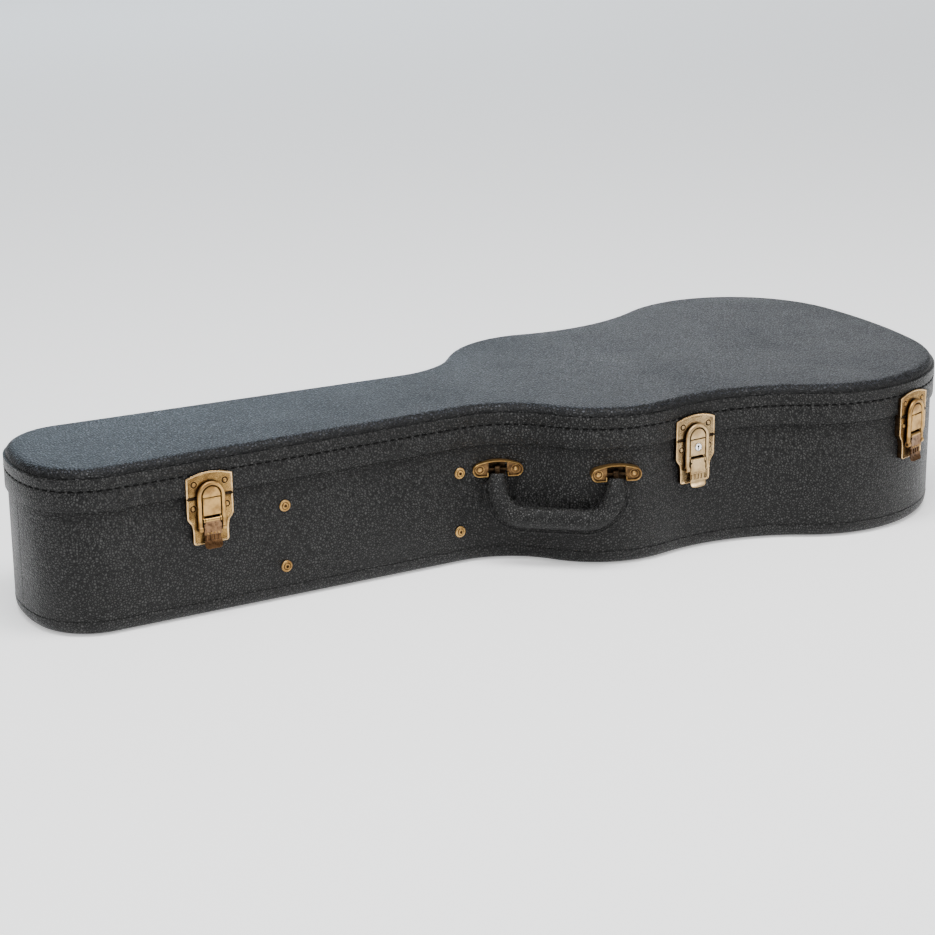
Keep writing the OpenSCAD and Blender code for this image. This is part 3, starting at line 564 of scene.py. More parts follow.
WALL_GRAIN = ((0.0490, 0.0490, 0.0472), grey(0.0005), 0.30, 2.8, 0.60)
VINYL_SKIN = grained_vinyl("grained_vinyl", *WALL_GRAIN)
# lid colour: a painted bluish sheen on the top for the reflection of the light behind, and near-black painted
# shade on the shoulder
LID_SKIN = grained_vinyl("lid_vinyl", (0.0390, 0.0435, 0.0550), (0.0008, 0.0009, 0.0011), 0.34, 3.2, 0.55,
                         (0.0060, 0.0062, 0.0066))
BAND_SKIN = grained_vinyl("band_vinyl", *WALL_GRAIN)
GRIP_SKIN = grained_vinyl("grip_vinyl", (0.0520, 0.0520, 0.0500), grey(0.0008), 0.30, 2.5, 0.50)
PLAIN_VINYL = grained_vinyl("binding_vinyl", grey(0.0100), grey(0.0050), 0.42, 1.2, 0.08)
BRASS = aged_metal("antique_brass", (0.49, 0.295, 0.100), (0.25, 0.138, 0.048), 0.33)
PALE_BRASS = aged_metal("pale_brass", (0.52, 0.37, 0.195), (0.36, 0.24, 0.115), 0.32)
# bright brass for the plates' raised rims, as a painted highlight
HIGHLIGHT_BRASS = aged_metal("rubbed_brass", (0.68, 0.46, 0.22), (0.42, 0.26, 0.11), 0.22, 220.0)
# dark brass for the brackets' dished floors and rivet dimples, as painted shade
DISH_SHADE = aged_metal("dished_brass", (0.15, 0.085, 0.036), (0.060, 0.033, 0.015), 0.36, 150.0)
# dark brass for hollows, partly patina and partly painted shade: stud centres, pins and hinge rivet dimples
PATINA_AND_SHADE = aged_metal("brass_patina_and_shade", (0.13, 0.070, 0.030), (0.045, 0.024, 0.012), 0.46, 160.0)
BRONZE = aged_metal("dark_bronze", (0.21, 0.120, 0.062), (0.076, 0.041, 0.022), 0.34, 240.0)
TAB_BRONZE = aged_metal("worn_bronze", (0.135, 0.070, 0.032), (0.045, 0.022, 0.010), 0.34, 260.0)
STEEL = aged_metal("plated_steel", (0.72, 0.72, 0.74), (0.52, 0.52, 0.54), 0.22)
CHROME = aged_metal("lock_chrome", (0.90, 0.90, 0.92), (0.80, 0.80, 0.82), 0.14)
PLUSH_FABRIC = plush_fabric("plush", (0.028, 0.026, 0.030), (0.085, 0.080, 0.092))
PLYWOOD = plywood("plywood", (0.42, 0.27, 0.14), (0.30, 0.18, 0.09), (0.60, 0.42, 0.24))
THREAD = woven("thread", grey(0.0008), grey(0.003), 2600.0, 0.0, 0.08)
RIBBON = woven("ribbon", (0.025, 0.022, 0.022), (0.070, 0.064, 0.060), 900.0)
# near-black brass as painted shade: plate skirts and gap edges, rivet dimples, pin caps, handle loops and the
# inside of the bracket windows
SHADE_BRASS = aged_metal("sooty_brass", (0.040, 0.024, 0.012), (0.016, 0.010, 0.006), 0.5, 200.0)
# near-black for the keyhole's shallow inside, as painted shade
HOLE = new_material("keyhole_black", grey(0.004), 0.7)


# --- the shell ---
def quarter(wall, radius, z, up, start, end, count=8):
    """(offset, height) pairs of the round edge between an upright wall and a flat face."""
    turns = [math.radians(turn) for turn in spread(start, end, count)]
    return [(wall - EDGE_RADIUS + radius * math.sin(t), z + up * radius * math.cos(t)) for t in turns]


COVER_IN = -BODY_INSET - VINYL
SHELL_IN = COVER_IN - PLY
LINING_IN = SHELL_IN - PLUSH
LID_COVER_IN = -LID_INSET - VINYL
LID_SHELL_IN = LID_COVER_IN - PLY
LID_LINING_IN = LID_SHELL_IN - LID_PLUSH
INNER_RADIUS = EDGE_RADIUS - VINYL
SPRING_Z = TOP_Z - EDGE_RADIUS
CROWN = 0.8
CROWN_SIDE = 60
CROWN_END = 90
RIPPLE_EDGE = 25
RIPPLE_END = 20


def crowned(height):
    """Lift of a panel: none at its edge, and full further inside it."""
    def lift(p, edge):
        near = min(1, (abs(edge.y) - abs(p.y)) / CROWN_SIDE, (LENGTH / 2 - abs(p.x)) / CROWN_END)
        return height * math.sin(max(0, near) * math.pi / 2)
    return lift


def ripple(height, wave):
    """Slight unevenness of a stretched lining."""
    def lift(p, edge):
        side = (abs(edge.y) - abs(p.y)) / RIPPLE_EDGE
        end = (LENGTH / 2 - RIPPLE_END - abs(p.x)) / RIPPLE_EDGE
        near = min(1, max(0, side), max(0, end))
        return near * height * (0.6 + 0.4 * math.sin(p.x / wave) * math.cos(p.y / wave + 1))
    return lift


def panel(name, profile, skin, body, nodes, lift=None):
    """Piece through rings of the outline, with a grid across its first and its last ring."""
    loops = rings(profile)
    shape = Shape().tube(loops, ends=False).across(loops[0]).across(loops[-1], lift)
    return piece(name, shape, [skin], body, nodes)


def hoop(name, profile, skin, body, nodes, outline=OUTLINE):
    """Piece with a closed profile that runs round the outline."""
    return piece(name, Shape().tube(rings(profile, outline), joined=True), [skin], body, nodes)


def build_lid_shell():
    inner = quarter(-LID_INSET, INNER_RADIUS, SPRING_Z, 1, 0, 90)
    outer = quarter(-LID_INSET, EDGE_RADIUS, SPRING_Z, 1, 90, 0, 12)
    skin = inner + [(LID_COVER_IN, LID_BOTTOM_Z), (-LID_INSET, LID_BOTTOM_Z)] + outer
    panel("lid_skin", skin, LID_SKIN, "lid", ["lid_cover"], crowned(CROWN))
    board_edge = [(LID_SHELL_IN, SPRING_Z), (LID_SHELL_IN, LID_UNDER_Z)]
    panel("lid_panel_ply", inner + board_edge, PLYWOOD, "lid", ["lid_panel"])
    wall = [(LID_COVER_IN, LID_BOTTOM_Z), (LID_COVER_IN, SPRING_Z), (LID_SHELL_IN, SPRING_Z),
            (LID_SHELL_IN, LID_BOTTOM_Z)]
    hoop("lid_wall_ply", wall, PLYWOOD, "lid", ["lid_wall"])


STITCH_Z = SPLIT_Z + 21.5
GROOVE = [(0, -1.6), (-0.4, -0.9), (-0.6, 0), (-0.4, 0.9), (0, 1.6)]
STITCH_PITCH = 9.6
STITCH_LENGTH = 7.0
STITCH_RADIUS = 0.75
STITCH_SINK = 0.45


def build_band():
    profile = [(-LID_INSET, SPLIT_Z), (-0.7, SPLIT_Z), (-0.2, SPLIT_Z + 0.25), (0, SPLIT_Z + 0.8)]
    profile += [(offset, STITCH_Z + rise) for offset, rise in GROOVE]
    profile += [(0, BAND_TOP_Z - 0.9), (-0.25, BAND_TOP_Z - 0.3), (-0.8, BAND_TOP_Z),
                (-LID_INSET, BAND_TOP_Z)]
    hoop("lid_band_strip", profile, BAND_SKIN, "lid", ["lid_band"])


def walk(spacing):
    """Evenly spaced places round the outline: point, tangent and normal."""
    closed = OUTLINE + OUTLINE[:1]
    spans = list(zip(closed, closed[1:]))
    total = sum((b - a).length for (a, _), (b, _) in spans)
    step = total / round(total / spacing)
    places, due, done = [], step / 2, 0.0
    for (a, na), (b, nb) in spans:
        length = (b - a).length
        while due <= done + length:
            share = (due - done) / length
            places.append((a.lerp(b, share), (b - a).normalized(), na.lerp(nb, share).normalized()))
            due += step
        done += length
    return places


def add_stitch(shape, centre, along, out, up, length, radius, sides=6):
    """One stitch: a short thread that dives into the vinyl at both ends."""
    stations = [(-0.5, 0.3, -1.5), (-0.44, 0.8, -0.5), (-0.25, 1, 0.1), (0, 1, 0.3), (0.25, 1, 0.1),
                (0.44, 0.8, -0.5), (0.5, 0.3, -1.5)]
    loops = []
    for place, share, rise in stations:
        middle = centre + along * place * length + out * rise * radius
        loops.append([middle + radius * share * (math.cos(t) * out + math.sin(t) * up)
                      for t in spokes(sides)])
    shape.tube(loops)


def build_stitches():
    shape = Shape()
    for point, along, normal in walk(STITCH_PITCH):
        centre = Vector((point.x - STITCH_SINK * normal.x, point.y - STITCH_SINK * normal.y, STITCH_Z))
        add_stitch(shape, centre, along.to_3d(), normal.to_3d(), UP, STITCH_LENGTH, STITCH_RADIUS)
    piece("band_stitches", shape, [THREAD], "lid")


BUTT_SEAM = (0.9, 0.35, 0, -0.35, -0.9)
BUTT_DEPTH = (0, 0.1, 0.6, 0.1, 0)
BUTT_PLACE = 6


def seamed_outline():
    """The outline with a narrow upright groove near the middle of the head end."""
    groove = []
    for aside, depth in zip(BUTT_SEAM, BUTT_DEPTH):
        out = ray(math.pi + (BUTT_PLACE - aside) / HEAD_RADIUS)
        groove.append((END - Vector((LENGTH / 2, 0)) + (HEAD_RADIUS - depth) * out, out))
    return OUTLINE[:1] + groove + OUTLINE[2:]


def build_body_shell():
    face = -BODY_INSET
    skin = [(COVER_IN - 1, SEAM_Z), (face - 0.25, SEAM_Z), (face, SEAM_Z + 0.6), (face, BODY_TOP_Z - 1),
            (face - 0.4, BODY_TOP_Z), (COVER_IN - 1, BODY_TOP_Z)]
    hoop("body_skin", skin, VINYL_SKIN, "case_body", ["body_cover"], seamed_outline())
    skin = quarter(face, INNER_RADIUS, EDGE_RADIUS, -1, 0, 90)
    skin += [(COVER_IN, SEAM_Z), (face - 0.5, SEAM_Z), (face + 0.15, SEAM_Z - 0.35),
             (face + 0.3, SEAM_Z - 1.2), (face + 0.1, SEAM_Z - 3.4)]
    skin += quarter(face, EDGE_RADIUS, EDGE_RADIUS, -1, 90, 0, 12)
    panel("bottom_skin", skin, VINYL_SKIN, "case_body", ["bottom_cover", "bottom_edge_cover"])
    base = [(SHELL_IN, FLOOR_Z), (SHELL_IN, EDGE_RADIUS)]
    base += quarter(face, INNER_RADIUS, EDGE_RADIUS, -1, 90, 0)
    panel("bottom_panel_ply", base, PLYWOOD, "case_body", ["bottom_panel"])
    wall = [(COVER_IN, EDGE_RADIUS), (COVER_IN, BODY_TOP_Z), (SHELL_IN, BODY_TOP_Z), (SHELL_IN, EDGE_RADIUS)]
    hoop("body_wall_ply", wall, PLYWOOD, "case_body", ["body_shell"])
    rim = [(face, BODY_TOP_Z), (face - 0.1, RIM_Z - 0.5), (face - 0.8, RIM_Z - 0.05), (face - 3, RIM_Z),
           (SHELL_IN + 0.8, RIM_Z - 0.05), (SHELL_IN + 0.1, RIM_Z - 0.5), (SHELL_IN, BODY_TOP_Z)]
    hoop("rim_strip", rim, PLAIN_VINYL, "case_body", ["rim_binding"])


def build_linings():
    top = BODY_TOP_Z - 1
    wall = [(SHELL_IN, FLOOR_Z), (SHELL_IN, top), (SHELL_IN - 1.2, top + 0.4), (LINING_IN + 1.2, top - 0.3),
            (LINING_IN + 0.3, top - 1.5), (LINING_IN, top - 4), (LINING_IN, FLOOR_Z)]
    floor = [(LINING_IN, FLOOR_Z), (LINING_IN, PLUSH_Z - 1.5), (LINING_IN - 1.5, PLUSH_Z - 0.4)]
    soft = [hoop("body_wall_plush", wall, PLUSH_FABRIC, "case_body", ["body_lining"]),
            panel("floor_plush", floor, PLUSH_FABRIC, "case_body", ["floor_lining"],
                  ripple(0.4, 37))]
    edge = LID_BOTTOM_Z + 0.5
    under = LID_UNDER_Z - LID_PLUSH
    wall = [(LID_SHELL_IN, edge), (LID_SHELL_IN, under), (LID_LINING_IN, under), (LID_LINING_IN, edge + 3),
            (LID_LINING_IN + 0.6, edge + 1), (LID_LINING_IN + 1.8, edge)]
    top = [(LID_SHELL_IN, LID_UNDER_Z), (LID_SHELL_IN, under)]
    soft += [hoop("lid_wall_plush", wall, PLUSH_FABRIC, "lid", ["lid_wall_lining"]),
             panel("lid_top_plush", top, PLUSH_FABRIC, "lid", ["lid_top_lining"], ripple(-0.5, 41))]


# --- compartment and neck cradle ---
def neck_half(x, depth):
    """Half width inside the neck part at x, depth inside the band's face."""
    return NECK_HALF + NECK_TAPER * x - depth * NECK_SLANT


def frame_x(x):
    return x - LENGTH / 2


def crosswise(x0, x1, depth):
    """Plan of a board that spans the neck part, with points along its long edges."""
    near = [(frame_x(x), -neck_half(x, depth)) for x in (x0, x1)]
    return near + [(x, -y) for x, y in reversed(near)]


BOARD_FOOT = PLUSH_Z - 0.6


def board(name, node, material, body="case_body", foot=BOARD_FOOT, gap=0.0, bevel=2.0):
    """Board for a CAD node, as long along the case and as high, with a gap at the lined walls."""
    ends = [LENGTH / 2 + value for value in (low(node)[0], high(node)[0])]
    shape = Shape().prism(crosswise(*ends, gap - LINING_IN), foot, high(node)[2])
    return piece(name, shape, [material], body, [node], bevel=(bevel, 4))


NOTCH_RADIUS = 34
NOTCH_Z = 151
RIBBON_THICK = 0.9


def build_compartment():
    soft = [board(f"compartment_{end}_pad", f"compartment_{end}_wall", PLUSH_FABRIC)
            for end in ("head", "neck")]
    board("batten", "flap_batten", PLYWOOD, bevel=1.0)
    soft.append(board("flap_pad", "compartment_flap", PLUSH_FABRIC, "flap",
                      low("compartment_flap")[2], 1.5, 1.4))
    soft.append(build_cradle())
    build_ribbon()


def build_ribbon():
    """Pull tab: a flat strap bent into a loop."""
    start, end, half = low("flap_tab")[0], high("flap_tab")[0], high("flap_tab")[1]
    loops = []
    for t in spread(0, math.pi, 16):
        outer = (end - start) / 2 * (1 + 0.25 * math.sin(t)**2)
        inner = outer - RIBBON_THICK
        waist = 1 - 0.15 * math.sin(t)
        loops.append([((start + end) / 2 + r * math.cos(t) * waist, y, low("flap_tab")[2] + r * math.sin(t))
                      for r, y in ((outer, -half), (outer, half), (inner, half), (inner, -half))])
    piece("flap_ribbon", Shape().tube(loops), [RIBBON], "flap", ["flap_tab"], bevel=(0.25, 2))


def build_cradle():
    """Padded block with a scoop for the neck."""
    start, (end, _, top) = low("neck_cradle")[0], high("neck_cradle")
    half = neck_half(LENGTH / 2 + end, -LINING_IN)
    scoop = math.degrees(math.asin((NOTCH_Z - top) / NOTCH_RADIUS))
    section = [(-half, BOARD_FOOT), (half, BOARD_FOOT), (half, top)]
    section += round_points((0, NOTCH_Z), NOTCH_RADIUS, -scoop, scoop - 180, 24) + [(-half, top)]
    place = axes_at(Vector(), (0, 1, 0), UP, (1, 0, 0))
    return piece("cradle_pad", Shape().prism(section, start, end), [PLUSH_FABRIC], "case_body",
                 ["neck_cradle"], place, bevel=(3.0, 5))


RIVET_STEPS = 32
# radius that closes the top of a turned dome
TIP = 0.02
STUD_RADIUS = 6.3
STUD_RISE = 2.4
STUD_INSET = 5.6
STUD_PROFILE = [(0.9, -0.4), (1.0, 0), (1.0, 0.25), (0.94, 0.55), (0.82, 0.7), (0.68, 0.68), (0.58, 0.42),
                (0.52, 0.42), (0.49, 0.8), (0.42, 0.98), (0.33, 1.0), (0.27, 0.9), (0.25, 0.3)]
# shallow cup in the stud's middle, painted dark as patina and as the shade of a hollow rivet
STUD_HOLE = [(0.27, 0.3), (0.27, 0.45), (TIP / STUD_RADIUS, 0.45)]


def add_stud(shape, v):
    """Rivet with a round flange, a hollow ring and a raised middle."""
    for skin, profile in enumerate((STUD_PROFILE, STUD_HOLE)):
        shape.turned([(STUD_RADIUS * r, STUD_RISE * h - BODY_INSET) for r, h in profile], (0, v, 0),
                     steps=RIVET_STEPS, skin=skin)


def wall_place(point, turn, z=0.0):
    """Frame on a wall: u along it, v up, and the third axis outwards; turn is in radians."""
    along = ray(turn).to_3d()
    return axes_at(Vector((frame_x(point.x), point.y, z)) * MM, along, UP, Vector((along.y, -along.x, 0)))


def build_compartment_rivets():
    box_low, box_high = low("compartment_rivets"), high("compartment_rivets")
    column = Shape()
    for v in (box_low[2] + STUD_INSET, box_high[2] - STUD_INSET):
        add_stud(column, v)
    shape = Shape()
    lean = math.atan(NECK_TAPER)
    for x in (LENGTH / 2 + box_low[0] + STUD_INSET, LENGTH / 2 + box_high[0] - STUD_INSET):
        half = neck_half(x, 0)
        for y, turn in ((-half, -lean), (half, math.pi + lean)):
            shape.merge(column, wall_place(Vector((x, y)), turn))
    piece("compartment_studs", shape, [BRASS, PATINA_AND_SHADE], "case_body", ["compartment_rivets"])


build_lid_shell()
build_band()
build_stitches()
build_body_shell()
build_linings()
build_compartment()
build_compartment_rivets()


# --- hardware: on a wall u runs along it, v is the height and o is outwards ---
JOINTS = {joint["name"]: joint for joint in frame["joints"]}
# where they show between pieces, the latch pins take patina with painted shade and the handle loops take
# painted shade
PIN_METALS = {"lever_pins": PATINA_AND_SHADE, "latch_1_bail_pin": PATINA_AND_SHADE, "latch_2_bail_pin": PATINA_AND_SHADE,
              "latch_3_bail_pin": PATINA_AND_SHADE, "handle_loops": SHADE_BRASS, "lock_cam": STEEL, "hinge_pins": STEEL,
              "handle_core": STEEL}
PIVOT_OUT = 5.2
PLATE_FRONT = 1.6
DOME_FRONT = 7.0
PLATE_HALF = 25.5
DOME_HALF = 10.0
STRIKE_BOTTOM = SPLIT_Z - 2.8
BASE_TOP = STRIKE_BOTTOM - 0.5
BASE_BOTTOM = SPLIT_Z - 53
HOUSING_BOTTOM = SPLIT_Z - 22
DOME_CENTRE = SPLIT_Z - 1.2
LEVER_PIVOT = SPLIT_Z - 27
BAIL_PIVOT = LEVER_PIVOT - 9
LOCK_Z = SPLIT_Z - 12
# the latch with the key lock
LOCKED = 2
EAR_START = 8.5
EAR_RADIUS = 2.6


def latch_frame(i):
    """Frame on the wall at a latch, whose lever's axis runs backwards along the wall."""
    joint = JOINTS[f"latch_{i}_lever"]
    along = -Vector(joint["axis"])
    out = Vector((along.y, -along.x, 0))
    origin = Vector((*joint["pos_m"][:2], 0))
    return axes_at(origin - PIVOT_OUT * MM * out, along, UP, out)


def latch_piece(name, i, shape, materials, body, nodes):
    piece(name, shape, materials, body, nodes, latch_frame(i))


def even(loop, step):
    """A closed flat line with its long edges split."""
    points = []
    for i, here in enumerate(loop):
        a, b = Vector(here), Vector(loop[(i + 1) % len(loop)])
        count = max(1, math.ceil((b - a).length / step))
        points += [a.lerp(b, k / count) for k in range(count)]
    return points


def circle_like(loop, centre, radius):
    """Points of a circle in the directions of a loop's points."""
    middle = Vector(centre)
    return [middle + radius * (Vector(p) - middle).normalized() for p in loop]


def along_u(shape, profile, v, o, skin=0):
    """Solid turned about a line along u, from a list of (radius, u)."""
    return shape.turned(profile, (0, v, o), (1, 0, 0), skin=skin)


def sided(side, near, far):
    """Two distances from the middle as places on one side of it, in rising order."""
    return sorted((side * near, side * far))


def roller(radius, start, end, soft=0.3):
    return [(radius - soft, start), (radius, start + soft), (radius, end - soft), (radius - soft, end)]


def bar(shape, profile, start, end, skin=0):
    """Solid with a (v, o) profile between two places along u."""
    return shape.tube([[(u, v, o) for v, o in profile] for u in (start, end)], skin)


MOAT = 1.4
LIP = [(0.6, 0), (0.5, 0.18), (0.3, 0.22), (0.1, 0.14), (0, 0.02)]


def rivet(shape, x, y, base, radius, rise):
    """Domed rivet in a dimple painted dark as shade, with a raised lip round it."""
    moat = radius + MOAT
    lip = [(moat + d, base + h) for d, h in LIP]
    dimple = [(moat, base - 0.2), (moat, base + 0.05), (radius * 0.9, base + 0.05)]
    turns = spread(0, math.pi / 2, 8)[:-1]
    dome = [(radius * math.cos(t), base + rise * math.sin(t)) for t in turns] + [(TIP, base + rise)]
    for profile, skin in ((lip, 0), (dimple, 1), (dome, 0)):
        shape.turned(profile, (x, y, 0), steps=RIVET_STEPS, skin=skin)


RIM = [(0.35, 0.45), (0.9, 0.5), (1.3, 0.3), (1.75, 0)]
RIM_FOOT = PLATE_FRONT - 0.4
# how near the gap between two plates the rim takes painted shade
SHADE_REACH = 2


def pan(shape, outline, deep):
    """Pressed plate with a skirt that goes back to the wall and a raised rim; painted shade on the skirt and
    where two plates meet, a painted highlight on the rest of the rim.
    """
    shape.tube(stepped(outline, [(0, deep), (0, RIM_FOOT)]), skin=1)
    edge = [(0, RIM_FOOT), (0, PLATE_FRONT + 0.1)] + [(d, PLATE_FRONT + h) for d, h in RIM]
    first = len(shape.faces)
    # the raised rim takes the bright brass as a painted highlight
    shape.tube(stepped(outline, edge), skin=2, ends=False)
    # rim faces near the gap between two plates take painted shade instead of the painted highlight
    for i in range(first, len(shape.faces)):
        heights = [shape.points[k][1] for k in shape.faces[i]]
        if min(heights) > BASE_TOP - SHADE_REACH and max(heights) < STRIKE_BOTTOM + SHADE_REACH:
            shape.skins[i] = 1
    shape.tube([flat(inset(outline, RIM[-1][0]), PLATE_FRONT), flat(inset(outline, 3), PLATE_FRONT)])


# (inset, height) pairs of a raised boss: its flared foot, then its side and rounded edge
BOSS_FLARE = [(-0.9, PLATE_FRONT - 0.2), (-0.85, PLATE_FRONT), (-0.3, PLATE_FRONT + 0.25)]
BOSS = [(0, PLATE_FRONT + 0.8), (0, DOME_FRONT - 1.2), (0.2, DOME_FRONT - 0.6), (0.65, DOME_FRONT - 0.15),
        (1.2, DOME_FRONT), (1.9, DOME_FRONT - 0.1)]
# (radius, height) pairs round the lock, heights from the boss's front
LOCK_BEZEL = [(6.2, -0.1), (6.0, 0.15), (5.5, 0.45), (4.9, 0.45), (4.45, 0.1), (4.45, -5)]
HOUSING_STEP = 0.8
PLATE_RIVET = (2.2, 1.6)
STRIKE_CORNER = SPLIT_Z + 18.5
STRIKE_CROWN = 5.0
STRIKE_RIVET = (17.0, SPLIT_Z + 11.5)
BASE_RIVET = (18.5, SPLIT_Z - 14)
STRIKE_DEEP = -5.9
BASE_DEEP = -8.9


def strike_outline():
    shares = [1 - k / 8 for k in range(17)]
    crown = [(PLATE_HALF * share, STRIKE_CORNER + STRIKE_CROWN * (1 - share**2)) for share in shares]
    return [(-PLATE_HALF, STRIKE_BOTTOM), (PLATE_HALF, STRIKE_BOTTOM)] + crown


def base_outline():
    """Pan with shoulders at the top that narrow in a soft bend to the foot."""
    foot, knee = 19.5, SPLIT_Z - 26
    right = round_points((foot - 3, BASE_BOTTOM + 3), 3, -90, 0, 5) + [(foot, knee - 14)]
    right += curve((foot, knee - 14), (foot + 0.2, knee - 5.5), (foot + 2.6, knee - 3.2), 6)
    right += curve((foot + 2.6, knee - 3.2), (PLATE_HALF - 1, knee - 0.8), (PLATE_HALF, knee + 2.2), 5)
    right += [(PLATE_HALF, BASE_TOP)]
    return right + [(-x, y) for x, y in reversed(right)]


def build_strike(i, metal):
    shape = Shape()
    pan(shape, strike_outline(), STRIKE_DEEP)
    arch = round_points((0, DOME_CENTRE), DOME_HALF, 0, 180, 24)
    dome = [(-DOME_HALF, STRIKE_BOTTOM), (DOME_HALF, STRIKE_BOTTOM)] + arch
    shape.tube(stepped(dome, BOSS_FLARE + BOSS))
    for side in (-1, 1):
        rivet(shape, side * STRIKE_RIVET[0], STRIKE_RIVET[1], PLATE_FRONT, *PLATE_RIVET)
    nodes = [f"latch_{i}_strike"] + (["strike_rivets"] if i == 1 else [])
    latch_piece(f"strike_plate_{i}", i, shape, [metal, SHADE_BRASS, HIGHLIGHT_BRASS], "lid", nodes)


def lock_seat(shape, outline):
    """Housing with a round opening and a raised bezel for the lock."""
    loop = even(inset(outline, BOSS[-1][0]), HOUSING_STEP)
    bezel = [flat(circle_like(loop, (0, LOCK_Z), r), DOME_FRONT + h) for r, h in LOCK_BEZEL]
    shape.tube([flat(loop, BOSS[-1][1])] + bezel, ends=False)
    shape.tube(stepped(even(outline, HOUSING_STEP), BOSS), ends=False)


def build_base(i, metal):
    shape = Shape()
    pan(shape, base_outline(), BASE_DEEP)
    housing = [(-DOME_HALF, HOUSING_BOTTOM), (DOME_HALF, HOUSING_BOTTOM), (DOME_HALF, BASE_TOP),
               (-DOME_HALF, BASE_TOP)]
    if i == LOCKED:
        lock_seat(shape, housing)
    else:
        shape.tube(stepped(housing, BOSS))
    ear = [(LEVER_PIVOT + 6, 1), (LEVER_PIVOT + 6, 4.6), (LEVER_PIVOT + 3.4, PIVOT_OUT - 0.1)]
    ear += [(LEVER_PIVOT + y, PIVOT_OUT + x) for x, y in round_points((0, 0), EAR_RADIUS, 75, -90, 10)]
    ear += [(LEVER_PIVOT - EAR_RADIUS, 1)]
    for side in (-1, 1):
        rivet(shape, side * BASE_RIVET[0], BASE_RIVET[1], PLATE_FRONT, *PLATE_RIVET)
        bar(shape, ear, *sided(side, EAR_START, DOME_HALF))
    nodes = [f"latch_{i}_base"] + (["base_rivets"] if i == 1 else [])
    latch_piece(f"base_plate_{i}", i, shape, [metal, SHADE_BRASS, HIGHLIGHT_BRASS], "case_body", nodes)


BAIL_MID = DOME_HALF + 3.0
BAIL_WIRE = 2.3
BAIL_EYE = 3.2
PIN_CAP = 1.7


def build_bail(i, metal):
    path = [(BAIL_MID, BAIL_PIVOT + 1, 0)]
    path += [(BAIL_MID * math.cos(t), DOME_CENTRE + BAIL_MID * math.sin(t), t)
             for t in spread(0, math.pi, 28)]
    path += [(-BAIL_MID, BAIL_PIVOT + 1, math.pi)]
    wire = [(BAIL_WIRE * math.cos(a), BAIL_WIRE * math.sin(a)) for a in spokes(18)]
    shape = Shape().tube([[(u + r * math.cos(t), v + r * math.sin(t), PIVOT_OUT + h) for r, h in wire]
                          for u, v, t in path])
    for side in (-1, 1):
        eye = roller(BAIL_EYE, *sided(side, BAIL_MID - BAIL_WIRE, BAIL_MID + BAIL_WIRE), 0.6)
        along_u(shape, eye, BAIL_PIVOT, PIVOT_OUT)
        outer = side * (BAIL_MID + BAIL_WIRE)
        cap = [(PIN_CAP, outer - side * 0.1), (PIN_CAP, outer + side * 0.08), (TIP, outer + side * 0.08)]
        # the pin caps in painted shade
        along_u(shape, cap, BAIL_PIVOT, PIVOT_OUT, skin=1)
    latch_piece(f"bail_loop_{i}", i, shape, [metal, SHADE_BRASS], f"bail_{i}", [f"latch_{i}_bail"])


LEVER_HALF = 8.1
LEVER_WIDE = 9.8
LEVER_FRONT = PIVOT_OUT + 2.4
LEVER_BACK = PIVOT_OUT + 0.7
BEADS = (-6.0, -2.0, 2.0, 6.0)
RIBS = (-6.9, -2.3, 2.3, 6.9)
RIBS_BOTTOM = 83.8
RIBS_TOP = 92
# (v from the bottom of the ribs, o, half width) down the curled tab
TAB_LINE = [(0.8, 6.2, 9.1), (-0.6, 6.3, 9.7), (-2.2, 6.6, 9.8), (-3.8, 7.1, 9.8), (-5.3, 7.8, 9.5),
            (-6.5, 8.4, 8.7), (-7.3, 8.9, 7.2), (-7.7, 9.1, 5.2)]
TAB_HALF = 0.6


def thumb_tab(shape):
    """Curled tab: a strip along u that bends outwards and rounds off at its end."""
    loops = []
    for k, (drop, o, half) in enumerate(TAB_LINE):
        v = RIBS_BOTTOM + drop
        before, after = TAB_LINE[max(0, k - 1)], TAB_LINE[min(len(TAB_LINE) - 1, k + 1)]
        run = Vector((after[0] - before[0], after[1] - before[1])).normalized()
        rise = Vector((-run.y, run.x)) * TAB_HALF
        dish = [(-half, 0.25), (-half * 0.6, 0), (half * 0.6, 0), (half, 0.25)]
        front = [(u, v - rise.x, o - rise.y + d) for u, d in dish]
        back = [(u, v + rise.x, o + rise.y + d) for u, d in reversed(dish)]
        loops.append(front + back)
    shape.tube(loops, skin=2)


def lever_plate(shape):
    """Flat plate with bent cheeks, beaded across its foot."""
    right = [(LEVER_WIDE, BAIL_PIVOT - 6.4), (LEVER_WIDE, LEVER_PIVOT - 4), (LEVER_HALF, LEVER_PIVOT - 2.8),
             (LEVER_HALF, LEVER_PIVOT)]
    plate = [(-LEVER_WIDE, BAIL_PIVOT - 6.4)] + right + [(-x, y) for x, y in right[:0:-1]]
    shape.tube(stepped(plate, [(0, LEVER_BACK), (0, LEVER_FRONT - 0.35), (0.3, LEVER_FRONT),
                               (0.9, LEVER_FRONT - 0.12)]), skin=1)
    cheek = [(LEVER_PIVOT - 4.2, LEVER_FRONT - 0.5), (BAIL_PIVOT - 5, LEVER_FRONT - 0.5),
             (BAIL_PIVOT - 4, 4.2), (LEVER_PIVOT - 4.8, 4.2)]
    for side in (-1, 1):
        bar(shape, cheek, *sided(side, LEVER_WIDE - 1, LEVER_WIDE), skin=1)
    bead = [(1.3 * math.cos(t), LEVER_FRONT - 0.3 + 1.1 * math.sin(t)) for t in (0, 0.4, 0.8, 1.2)]
    for u in BEADS:
        shape.turned(bead + [(TIP, LEVER_FRONT + 0.82)], (u, BAIL_PIVOT - 4.6, 0), steps=14)


